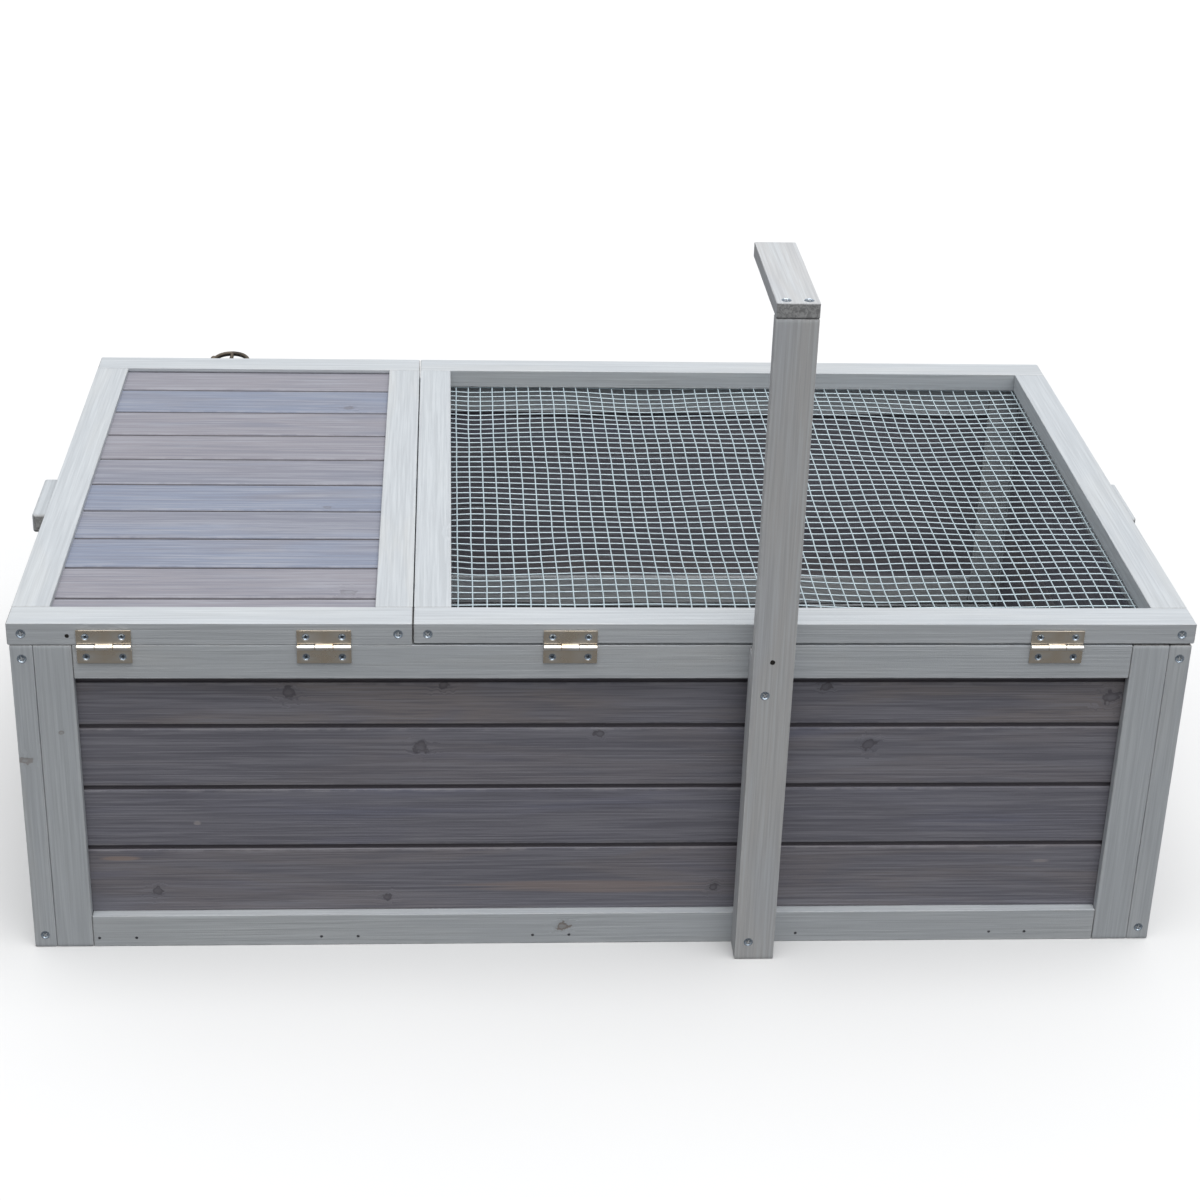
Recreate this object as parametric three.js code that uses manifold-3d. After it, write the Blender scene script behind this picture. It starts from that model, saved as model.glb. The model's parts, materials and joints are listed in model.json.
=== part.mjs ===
// Rabbit hutch: a low boarded box with two hinged lids, one boarded and one of wire mesh,
// a pull-out floor tray, and a post with a short arm for hanging a lamp over the mesh lid.
// Millimetres. X runs along the length, Y from the hinge side to the tray side, Z is up.
// The origin is on the floor under the middle of the box.
import * as THREE from 'three';
import { mergeVertices } from 'three/addons/utils/BufferGeometryUtils.js';
import Module from 'manifold-3d';

const wasm = await Module();
wasm.setup();

// Overall sizes
const LID_LENGTH = 950;
const DEPTH = 590;
const LID_TOP = 304;
const LID_OVERHANG = 1.5;
const GAP = 0.3;

// How far a cutter reaches past the face that it opens
const CUT_PAST = 1;

// Batten stock of the wall and lid frames, width by thickness
const BATTEN_W = 30;
const BATTEN_T = 18;

// Tongue-and-groove boarding, with a vee at each joint
const BOARD_T = 9;
const BOARD_PITCH = 57.3;
const REBATE = 6;
const REBATE_SUNK = BATTEN_T - BOARD_T;
const GROOVE_SUNK = (BATTEN_T - BOARD_T) / 2;
const VEE_DEPTH = 1.2;
const VEE_HALF = 1.5;
const WALL_JOINT_DROP = 78.7;
const WALL_JOINTS = 3;

// Lids
const SOLID_LID_LENGTH = 317.8;
const LID_SPLIT = 0.9;
const SOLID_LID_T = 19;
const MESH_LID_T = 17.6;
const LID_BOARD_SINK = 4.5;
const LID_JOINT_FIRST = -240.5;
const LID_JOINTS = 9;

// Wire mesh under the mesh lid: square wires, one in three, the cross wires lapped onto the long ones
const WIRE_T = 0.7;
const WIRE_LAP = 0.3;
const WIRE_PITCH = 36;
const WIRE_FIRST_X = -145.1;
const WIRE_FIRST_Y = -285;
const WIRE_CELLS_X = 17;
const WIRE_CELLS_Y = 16;

// Floor: bearers, sill and pull-out tray
const SILL_H = 18;
const BEARER_W = 31;
const BEARER_X = [-404.5, -219.5, -41.5, 152, 350];
const TRAY_SLOT = 39;
const TRAY_SIDE_CLEAR = 2;
const PAN_H = 18;
const PAN_WALL = 2;
const TRAY_FRONT_H = 19;
const GRIP_HALF = 55;
const GRIP_DROP = 6;

// Partition with an arched doorway
const PARTITION_T = 12;
const DOOR_HALF = 85;
const DOOR_SPRING = 120;

// Lamp post, its spacer and its arm
const POST_X = 129;
const POST_W = 33;
const POST_T = 12;
const POST_STANDOFF = 26;
const SPACER_DROP = 1;
const ARM_TOP = 582.5;
const ARM_LENGTH = 146;

// Bar handles on the end walls
const HANDLE_LENGTH = 80;
const HANDLE_OUT = 22;
const HANDLE_H = 18;
const HANDLE_TOP = 280;
const HANDLE_Y = 5;

// Butt hinges of the two lids
const HINGES = [['solid_a', -399.5], ['solid_b', -227], ['mesh_a', -31.5], ['mesh_b', 362]];
const HINGE_LENGTH = 43;
const HINGE_Z = 284;
const LEAF_REACH = 14.5;
const LEAF_T = 1.2;
const KNUCKLE_R = 2.3;
const KNUCKLE_GAP = 0.4;
const TAB_LAP = 1;
const KNUCKLES = 3;
const PIN_R = 1.1;
const PIN_CLEARANCE = 0.08;
const ROUND_SIDES = 24;

// Bow pull on the boarded lid
const PULL_X = -347;
const PULL_Z = 300;
const PULL_HALF = 17;
const PULL_OUT = 26;
const PULL_BAR_R = 2;
const PULL_BAR_SEGMENTS = 6;
const PULL_STEM_R = 1.6;
const PULL_FOOT_R = 3.8;
const PULL_FOOT_T = 2;
const PULL_KNOB_R = 3;
const PULL_STEPS = 20;

// Worked-out levels
const WALL_TOP = LID_TOP - SOLID_LID_T - GAP;
const BODY_HALF = LID_LENGTH / 2 - LID_OVERHANG;
const INNER_HALF = BODY_HALF - BATTEN_T;
const HALF_DEPTH = DEPTH / 2;
const INNER_DEPTH = HALF_DEPTH - BATTEN_T;
const LID_LEFT = -LID_LENGTH / 2;
const LID_RIGHT = LID_LENGTH / 2;
const SOLID_RIGHT = LID_LEFT + SOLID_LID_LENGTH;
const MESH_LEFT = SOLID_RIGHT + LID_SPLIT;
const WALL_JOINT_HEIGHTS = joints(WALL_TOP - WALL_JOINT_DROP, -BOARD_PITCH, WALL_JOINTS);

const paint = (color, roughness, metalness = 0) =>
  new THREE.MeshStandardMaterial({ color, roughness, metalness });
const FRAME = paint(0x9da2a7, 0.75);
const BOARD = paint(0x514e57, 0.8);
const LID_BOARD = paint(0x9194a6, 0.8);
const MAST = paint(0x8c8680, 0.8);
const NICKEL = paint(0x8f877b, 0.35, 0.9);
const WIRE = paint(0xb9c3c9, 0.4, 0.8);
const TRAY = paint(0x232427, 0.6);
const BRONZE = paint(0x3b3128, 0.4, 0.7);

const hutch = new THREE.Group();

// Evenly spaced joint lines
function joints(first, step, count) {
  return Array.from({ length: count }, (_, index) => first + index * step);
}

function addPiece(parent, name, geometry, material) {
  const mesh = new THREE.Mesh(geometry, material);
  mesh.name = name;
  parent.add(mesh);
}

// Box between two opposite corners
function block(low, high) {
  const [x, y, z] = high.map((value, axis) => value - low[axis]);
  return new THREE.BoxGeometry(x, y, z).translate(low[0] + x / 2, low[1] + y / 2, low[2] + z / 2);
}

function rod(radius, length) {
  return new THREE.CylinderGeometry(radius, radius, length, ROUND_SIDES);
}

function toSolid(geometry) {
  const bare = geometry.clone();
  bare.deleteAttribute('normal');
  bare.deleteAttribute('uv');
  const { attributes, index } = mergeVertices(bare);
  return new wasm.Manifold(new wasm.Mesh({
    numProp: 3,
    vertProperties: new Float32Array(attributes.position.array),
    triVerts: new Uint32Array(index.array),
  }));
}

function toGeometry(solid) {
  const { vertProperties, triVerts } = solid.getMesh();
  const shared = new THREE.BufferGeometry();
  shared.setAttribute('position', new THREE.BufferAttribute(vertProperties, 3));
  shared.setIndex(new THREE.BufferAttribute(triVerts, 1));
  const flat = shared.toNonIndexed();
  flat.computeVertexNormals();
  return flat;
}

function cut(geometry, ...tools) {
  const solid = tools.reduce((rest, tool) => rest.subtract(toSolid(tool)), toSolid(geometry));
  return toGeometry(solid);
}

function join(geometry, ...others) {
  const solid = others.reduce((whole, other) => whole.add(toSolid(other)), toSolid(geometry));
  return toGeometry(solid);
}

// Prism along X: the outline's points are [y, z] pairs
function prismX(outline, from, to) {
  const shape = new THREE.Shape(outline.map(([y, z]) => new THREE.Vector2(y, z)));
  const prism = new THREE.ExtrudeGeometry(shape, { depth: to - from, bevelEnabled: false });
  prism.rotateX(Math.PI / 2).rotateZ(Math.PI / 2);
  return prism.translate(from, 0, 0);
}

// Section of a boarded panel as [across, through] pairs: a strip with a vee at each joint line
function boardedStrip(low, high, lines, near, far) {
  const inside = lines.filter((line) => line > low + VEE_HALF && line < high - VEE_HALF);
  const sorted = inside.sort((a, b) => a - b);
  const vee = (line, face, depth) => [
    [line - VEE_HALF, face],
    [line, face + depth],
    [line + VEE_HALF, face],
  ];
  const nearSide = sorted.flatMap((line) => vee(line, near, VEE_DEPTH));
  const farSide = sorted.flatMap((line) => vee(line, far, -VEE_DEPTH)).reverse();
  return [[low, near], ...nearSide, [high, near], [high, far], ...farSide, [low, far]];
}

// A framed wall, drawn along X with its outer face at Y = 0 and its inside towards +Y.
// Its boards lie sunk behind the outer face: in a rebate when they reach the inside, else in a groove.
function wall(name, half, bottom, x, y, turn, sunk) {
  const group = new THREE.Group();
  group.position.set(x, y, 0);
  group.rotation.z = turn;
  hutch.add(group);
  const panelEdge = half - BATTEN_W;
  const lowEdge = bottom + BATTEN_W;
  const highEdge = WALL_TOP - BATTEN_W;
  const boardBack = sunk + BOARD_T;
  const pocketBack = boardBack < BATTEN_T ? boardBack + GAP : BATTEN_T + CUT_PAST;
  const pocket = block(
    [-panelEdge - REBATE, sunk, lowEdge - REBATE],
    [panelEdge + REBATE, pocketBack, highEdge + REBATE],
  );
  const member = (part, low, high) => {
    addPiece(group, `${name}_${part}`, cut(block(low, high), pocket), FRAME);
  };
  member('stile_a', [-half, 0, bottom], [-panelEdge, BATTEN_T, WALL_TOP]);
  member('stile_b', [panelEdge, 0, bottom], [half, BATTEN_T, WALL_TOP]);
  const railEnd = panelEdge - GAP;
  member('top_rail', [-railEnd, 0, highEdge], [railEnd, BATTEN_T, WALL_TOP]);
  member('bottom_rail', [-railEnd, 0, bottom], [railEnd, BATTEN_T, lowEdge]);
  const strip = boardedStrip(
    lowEdge - REBATE + GAP, highEdge + REBATE - GAP, WALL_JOINT_HEIGHTS, sunk + GAP, boardBack,
  );
  const reach = panelEdge + REBATE - GAP;
  const section = strip.map(([across, through]) => [through, across]);
  addPiece(group, `${name}_boards`, prismX(section, -reach, reach), BOARD);
}

function walls() {
  const longHalf = INNER_HALF - GAP;
  wall('hinge_wall', longHalf, 0, 0, -HALF_DEPTH, 0, REBATE_SUNK);
  wall('tray_wall', longHalf, TRAY_SLOT, 0, HALF_DEPTH, Math.PI, GROOVE_SUNK);
  wall('left_wall', HALF_DEPTH, 0, -BODY_HALF, 0, -Math.PI / 2, REBATE_SUNK);
  wall('right_wall', HALF_DEPTH, 0, BODY_HALF, 0, Math.PI / 2, REBATE_SUNK);
}

function floorFrame() {
  const sillBack = HALF_DEPTH - BATTEN_W;
  const sillEnd = INNER_HALF - GAP;
  addPiece(hutch, 'tray_sill', block([-sillEnd, sillBack, 0], [sillEnd, HALF_DEPTH, SILL_H]), FRAME);
  BEARER_X.forEach((x, index) => {
    const low = [x - BEARER_W / 2, -INNER_DEPTH + GAP, 0];
    const high = [x + BEARER_W / 2, sillBack - GAP, SILL_H];
    addPiece(hutch, `bearer_${index + 1}`, block(low, high), FRAME);
  });
}

function tray() {
  const half = INNER_HALF - TRAY_SIDE_CLEAR;
  const base = SILL_H + GAP;
  const back = -INNER_DEPTH + TRAY_SIDE_CLEAR;
  const front = INNER_DEPTH - GAP;
  const pan = block([-half, back, base], [half, front, base + PAN_H]);
  const hollow = block(
    [-half + PAN_WALL, back + PAN_WALL, base + PAN_WALL],
    [half - PAN_WALL, front - PAN_WALL, base + PAN_H + CUT_PAST],
  );
  addPiece(hutch, 'tray_pan', cut(pan, hollow), TRAY);
  const top = base + TRAY_FRONT_H;
  const board = block([-half, INNER_DEPTH, base], [half, HALF_DEPTH, top]);
  const grip = new THREE.Shape();
  grip.moveTo(-GRIP_HALF, top + CUT_PAST);
  grip.lineTo(-GRIP_HALF, top);
  grip.quadraticCurveTo(0, top - 2 * GRIP_DROP, GRIP_HALF, top);
  grip.lineTo(GRIP_HALF, top + CUT_PAST);
  const scoop = new THREE.ExtrudeGeometry(grip, { depth: 2 * BATTEN_T, bevelEnabled: false });
  scoop.rotateX(Math.PI / 2).translate(0, HALF_DEPTH + BATTEN_T / 2, 0);
  addPiece(hutch, 'tray_front', cut(board, scoop), FRAME);
}

function partition() {
  const middle = (SOLID_RIGHT + MESH_LEFT) / 2;
  const reach = INNER_DEPTH - GAP;
  const door = new THREE.Shape();
  door.moveTo(-DOOR_HALF, TRAY_SLOT - CUT_PAST);
  door.lineTo(DOOR_HALF, TRAY_SLOT - CUT_PAST);
  door.lineTo(DOOR_HALF, DOOR_SPRING);
  door.absarc(0, DOOR_SPRING, DOOR_HALF, 0, Math.PI);
  const opening = new THREE.ExtrudeGeometry(door, { depth: 2 * PARTITION_T, bevelEnabled: false });
  opening.rotateX(Math.PI / 2).rotateZ(Math.PI / 2).translate(middle - PARTITION_T, 0, 0);
  const section = boardedStrip(
    TRAY_SLOT, WALL_TOP, WALL_JOINT_HEIGHTS, -PARTITION_T / 2, PARTITION_T / 2,
  ).map(([across, through]) => [through, across]);
  const boards = prismX(section, -reach, reach).rotateZ(Math.PI / 2).translate(middle, 0, 0);
  addPiece(hutch, 'partition', cut(boards, opening), BOARD);
}

// Four rails around a lid: the hinge and far rails run full length, the side rails fit between
function lidFrame(name, left, right, bottom, groove) {
  const inner = HALF_DEPTH - BATTEN_W;
  const rail = (part, low, high) => {
    const bar = block(low, high);
    addPiece(hutch, `${name}_${part}`, groove ? cut(bar, groove) : bar, FRAME);
  };
  rail('hinge_rail', [left, -HALF_DEPTH, bottom], [right, -inner, LID_TOP]);
  rail('far_rail', [left, inner, bottom], [right, HALF_DEPTH, LID_TOP]);
  const sideEnd = inner - GAP;
  rail('left_rail', [left, -sideEnd, bottom], [left + BATTEN_W, sideEnd, LID_TOP]);
  rail('right_rail', [right - BATTEN_W, -sideEnd, bottom], [right, sideEnd, LID_TOP]);
}

function solidLid() {
  const panelTop = LID_TOP - LID_BOARD_SINK;
  const panelBottom = panelTop - BOARD_T;
  const edge = BATTEN_W - REBATE;
  const reachY = HALF_DEPTH - edge;
  const groove = block(
    [LID_LEFT + edge, -reachY, panelBottom - GAP],
    [SOLID_RIGHT - edge, reachY, panelTop + GAP],
  );
  lidFrame('solid_lid', LID_LEFT, SOLID_RIGHT, LID_TOP - SOLID_LID_T, groove);
  const lines = joints(LID_JOINT_FIRST, BOARD_PITCH, LID_JOINTS);
  const strip = boardedStrip(-reachY + GAP, reachY - GAP, lines, panelBottom, panelTop);
  const boards = prismX(strip, LID_LEFT + edge + GAP, SOLID_RIGHT - edge - GAP);
  addPiece(hutch, 'solid_lid_boards', boards, LID_BOARD);
}

function meshLid() {
  const frameBottom = LID_TOP - MESH_LID_T;
  lidFrame('mesh_lid', MESH_LEFT, LID_RIGHT, frameBottom, null);
  const half = WIRE_T / 2;
  const upperZ = frameBottom - GAP - half;
  const lowerZ = upperZ - WIRE_T + WIRE_LAP;
  const lengthX = WIRE_CELLS_X * WIRE_PITCH + WIRE_T;
  const lengthY = WIRE_CELLS_Y * WIRE_PITCH + WIRE_T;
  const midX = WIRE_FIRST_X - half + lengthX / 2;
  const midY = WIRE_FIRST_Y - half + lengthY / 2;
  const alongY = joints(WIRE_FIRST_X, WIRE_PITCH, WIRE_CELLS_X + 1).map(
    (x) => new THREE.BoxGeometry(WIRE_T, lengthY, WIRE_T).translate(x, midY, upperZ),
  );
  const alongX = joints(WIRE_FIRST_Y, WIRE_PITCH, WIRE_CELLS_Y + 1).map(
    (y) => new THREE.BoxGeometry(lengthX, WIRE_T, WIRE_T).translate(midX, y, lowerZ),
  );
  addPiece(hutch, 'mesh_lid_wires', join(...alongX, ...alongY), WIRE);
}

// One leaf: a plate and its own knuckles, bored for the pin. side is 1 for up, -1 for down
function leaf(x, axisY, side, ownKnuckles) {
  const knuckle = HINGE_LENGTH / KNUCKLES;
  const start = x - HINGE_LENGTH / 2;
  const plateY = [-HALF_DEPTH - GAP - LEAF_T, -HALF_DEPTH - GAP];
  const span = (from, to) => [HINGE_Z + side * from, HINGE_Z + side * to].sort((a, b) => a - b);
  const plateZ = span(KNUCKLE_R + KNUCKLE_GAP, LEAF_REACH);
  const tabZ = span(0, KNUCKLE_R + KNUCKLE_GAP + TAB_LAP);
  const plate = block([start, plateY[0], plateZ[0]], [start + HINGE_LENGTH, plateY[1], plateZ[1]]);
  const parts = ownKnuckles.flatMap((index) => {
    const from = start + index * knuckle + (index > 0 ? KNUCKLE_GAP / 2 : 0);
    const to = start + (index + 1) * knuckle - (index < KNUCKLES - 1 ? KNUCKLE_GAP / 2 : 0);
    const barrel = rod(KNUCKLE_R, to - from).rotateZ(Math.PI / 2);
    barrel.translate((from + to) / 2, axisY, HINGE_Z);
    return [block([from, plateY[0], tabZ[0]], [to, plateY[1], tabZ[1]]), barrel];
  });
  const bore = rod(PIN_R + PIN_CLEARANCE, 2 * HINGE_LENGTH).rotateZ(Math.PI / 2);
  return cut(join(plate, ...parts), bore.translate(x, axisY, HINGE_Z));
}

function hinges() {
  const axisY = -HALF_DEPTH - GAP - KNUCKLE_R;
  for (const [name, x] of HINGES) {
    addPiece(hutch, `hinge_${name}_wall_leaf`, leaf(x, axisY, -1, [0, 2]), NICKEL);
    addPiece(hutch, `hinge_${name}_lid_leaf`, leaf(x, axisY, 1, [1]), NICKEL);
    const pin = rod(PIN_R, HINGE_LENGTH).rotateZ(Math.PI / 2).translate(x, axisY, HINGE_Z);
    addPiece(hutch, `hinge_${name}_pin`, pin, NICKEL);
  }
}

function lampPost() {
  const left = POST_X - POST_W / 2;
  const right = POST_X + POST_W / 2;
  const front = -HALF_DEPTH - POST_STANDOFF;
  const armBottom = ARM_TOP - POST_T;
  const post = block([left, front, 0], [right, front + POST_T, armBottom - GAP]);
  addPiece(hutch, 'lamp_post', post, MAST);
  const spacerFront = front + POST_T + GAP;
  const spacerTop = WALL_TOP - SPACER_DROP;
  const spacer = block([left, spacerFront, 0], [right, -HALF_DEPTH - GAP, spacerTop]);
  addPiece(hutch, 'lamp_post_spacer', spacer, MAST);
  const arm = block([left, front, armBottom], [right, front + ARM_LENGTH, ARM_TOP]);
  addPiece(hutch, 'lamp_arm', arm, MAST);
}

function handles() {
  for (const [name, side] of [['left_handle', -1], ['right_handle', 1]]) {
    const bar = new THREE.BoxGeometry(HANDLE_OUT, HANDLE_LENGTH, HANDLE_H);
    const x = side * (BODY_HALF + GAP + HANDLE_OUT / 2);
    addPiece(hutch, name, bar.translate(x, HANDLE_Y, HANDLE_TOP - HANDLE_H / 2), FRAME);
  }
}

function lidPull() {
  const root = HALF_DEPTH + GAP;
  const bulge = PULL_OUT - PULL_BAR_R - GAP - PULL_FOOT_T / 2;
  const bowPoints = Array.from({ length: PULL_STEPS + 1 }, (_, index) => {
    const angle = Math.PI * (1 - index / PULL_STEPS);
    return new THREE.Vector3(PULL_HALF * Math.cos(angle), bulge * Math.sin(angle), 0);
  });
  const barSection = new THREE.Shape().absarc(0, 0, PULL_BAR_R, 0, 2 * Math.PI);
  const bow = new THREE.ExtrudeGeometry(barSection, {
    extrudePath: new THREE.CatmullRomCurve3(bowPoints),
    steps: PULL_STEPS,
    curveSegments: PULL_BAR_SEGMENTS,
  });
  const foot = (x) => rod(PULL_FOOT_R, PULL_FOOT_T).translate(x, 0, 0);
  const stem = rod(PULL_STEM_R, bulge).translate(0, bulge / 2, 0);
  const knob = new THREE.SphereGeometry(PULL_KNOB_R, ROUND_SIDES, ROUND_SIDES / 2);
  knob.translate(-PULL_HALF, PULL_FOOT_T, PULL_BAR_R);
  const pull = join(foot(-PULL_HALF), foot(PULL_HALF), foot(0), bow, stem, knob);
  const seat = root + PULL_FOOT_T / 2;
  addPiece(hutch, 'solid_lid_pull', pull.translate(PULL_X, seat, PULL_Z), BRONZE);
}

walls();
floorFrame();
tray();
partition();
solidLid();
meshLid();
hinges();
lampPost();
handles();
lidPull();

export default hutch;
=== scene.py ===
import json
import math
import random

import bmesh
import bpy
from mathutils import Matrix, Vector, noise


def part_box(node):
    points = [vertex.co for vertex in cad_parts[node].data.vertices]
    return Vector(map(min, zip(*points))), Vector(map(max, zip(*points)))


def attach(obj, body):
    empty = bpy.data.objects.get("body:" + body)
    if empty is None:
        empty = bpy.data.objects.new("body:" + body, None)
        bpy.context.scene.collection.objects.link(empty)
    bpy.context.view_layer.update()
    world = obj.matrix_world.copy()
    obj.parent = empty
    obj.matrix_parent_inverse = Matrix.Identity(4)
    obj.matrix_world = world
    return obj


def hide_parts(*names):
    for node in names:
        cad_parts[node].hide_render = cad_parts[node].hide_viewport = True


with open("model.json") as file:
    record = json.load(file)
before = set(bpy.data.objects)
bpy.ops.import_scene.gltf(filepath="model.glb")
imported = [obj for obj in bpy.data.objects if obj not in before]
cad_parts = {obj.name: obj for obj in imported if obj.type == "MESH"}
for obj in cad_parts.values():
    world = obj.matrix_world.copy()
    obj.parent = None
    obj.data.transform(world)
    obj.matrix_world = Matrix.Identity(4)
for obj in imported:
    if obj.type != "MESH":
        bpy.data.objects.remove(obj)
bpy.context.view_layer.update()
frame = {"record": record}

# The rabbit hutch's looks, in metres: eased and stained timber, tongue-and-groove boards, welded mesh,
# hinges, screws and nails, each in its CAD node's place. X is its length, -Y its hinge side, Z is up.

MM = 0.001
BODY_OF = {node: body for body, nodes in frame["record"]["behaviour"]["bodies"].items() for node in nodes}


# --- Materials ---


class Graph:
    """A node tree, written as nested calls. A call returns the socket that carries its result."""

    def __init__(self, owner):
        owner.use_nodes = True
        self.owner = owner
        self.tree = owner.node_tree
        self.tree.nodes.clear()

    def node(self, kind, inputs=None, out=0, **settings):
        made = self.tree.nodes.new(kind)
        for key, value in settings.items():
            setattr(made, key, value)
        for key, value in (inputs or {}).items():
            if isinstance(value, bpy.types.NodeSocket):
                self.tree.links.new(value, made.inputs[key])
            elif value is not None:
                made.inputs[key].default_value = value
        return made.outputs[out] if made.outputs else made

    def attribute(self, name):
        return self.node("ShaderNodeAttribute", out="Vector", attribute_name=name)

    def place(self):
        return self.node("ShaderNodeTexCoord", out="Object")

    def parts(self, vector):
        return tuple(self.node("ShaderNodeSeparateXYZ", {0: vector}).node.outputs)

    def vector(self, operation, a, b=None, out=0):
        return self.node("ShaderNodeVectorMath", {0: a, 1: b}, out, operation=operation)

    def length(self, vector):
        return self.vector("LENGTH", vector, out=1)

    def math(self, operation, a, b, clamp=False):
        return self.node("ShaderNodeMath", {0: a, 1: b}, operation=operation, use_clamp=clamp)

    def times(self, a, b, clamp=False):
        return self.math("MULTIPLY", a, b, clamp)

    def plus(self, a, b):
        return self.math("ADD", a, b)

    def minus(self, a, b):
        return self.math("SUBTRACT", a, b)

    def noise(self, place, scale=1.0, detail=3.0, rough=0.55, bend=0.0):
        """Noise between 0 and 1. scale is one number, or one for each axis."""
        if isinstance(scale, tuple):
            place = self.vector("MULTIPLY", place, scale)
            scale = 1.0
        inputs = {"Vector": place, "Scale": scale, "Detail": detail, "Roughness": rough, "Distortion": bend}
        return self.node("ShaderNodeTexNoise", inputs)

    def fade(self, value, low, high, start=0.0, end=1.0):
        """A soft step from start, where value is low, to end, where it is high."""
        inputs = {0: value, 1: low, 2: high, 3: start, 4: end}
        return self.node("ShaderNodeMapRange", inputs, interpolation_type="SMOOTHSTEP")

    def blend(self, amount, a, b):
        """Colour a with some of colour b over it."""
        a, b = ((*side, 1.0) if isinstance(side, tuple) else side for side in (a, b))
        return self.node("ShaderNodeMix", {0: amount, 6: a, 7: b}, out=2, data_type="RGBA")

    def bump(self, height, depth, strength=1.0):
        inputs = {"Strength": strength, "Distance": depth, "Height": height}
        return self.node("ShaderNodeBump", inputs)

    def finish(self, color, roughness, normal, metallic=0.0, shine=None):
        inputs = {"Base Color": color, "Roughness": roughness, "Normal": normal, "Metallic": metallic}
        inputs["Specular IOR Level"] = shine
        shader = self.node("ShaderNodeBsdfPrincipled", inputs)
        self.node("ShaderNodeOutputMaterial", {0: shader})
        return self.owner


def material_graph(name):
    return Graph(bpy.data.materials.new(name))


# How often timber's patterns repeat in a metre, along the grain and across it
KNOT_SCALE = (12.0, 20.0, 20.0)
RING_SCALE = (0.9, 17.0, 17.0)
STREAK_SCALE = (3.0, 170.0, 170.0)
FIBRE_SCALE = (9.0, 520.0, 520.0)
PATCH_SCALE = (3.6, 24.0, 24.0)
SCUFF_SCALE = (60.0, 60.0, 60.0)
END_SCALE = (0.0, 300.0, 380.0)
CLOUD_SCALE = 11.0
CLOUD_SHIFT = (5.1, 2.3, 0.7)
UNEVEN_SCALE = 150.0
GRIT_SCALE = 2600.0
# How far grain bends round a random knot, and how a chosen knot lies in it: sizes long, and sizes reached
KNOT_BEND = 0.05
KNOT_LENGTH = 1.4
KNOT_REACH = 3.2
MARK_RAGGED = 2.4
KNOT_GLOSS = 0.12
WOOD_RELIEF = 0.6 * MM
ROUGH_BELOW = 0.07
ROUGH_ABOVE = 0.08


def add_knot(graph, near, shift, uneven, across, centre, size):
    """One knot at a given place: how near a point is to it, and how far the grain bends round it."""
    away = graph.vector("SUBTRACT", graph.place(), centre)
    spread = [1 / (size * KNOT_LENGTH)] * 3
    spread[across] = 1 / size
    distance = graph.times(graph.length(graph.vector("MULTIPLY", away, spread)), uneven)
    close = graph.fade(distance, 0.0, KNOT_REACH, 1.0, 0.0)
    bend = graph.times(graph.parts(away)[across], close)
    return graph.math("MAXIMUM", near, close), graph.minus(shift, bend)


def add_mark(graph, color, streak, centre, reach, stain, strength):
    """A blemish at a given place. reach is its half size along each axis."""
    away = graph.vector("SUBTRACT", graph.place(), centre)
    scaled = graph.vector("MULTIPLY", away, [1 / size for size in reach])
    ragged = graph.times(graph.minus(streak, 0.5), MARK_RAGGED)
    distance = graph.plus(graph.length(scaled), ragged)
    return graph.blend(graph.fade(distance, 0.45, 1.05, strength, 0.0), color, stain)


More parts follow.
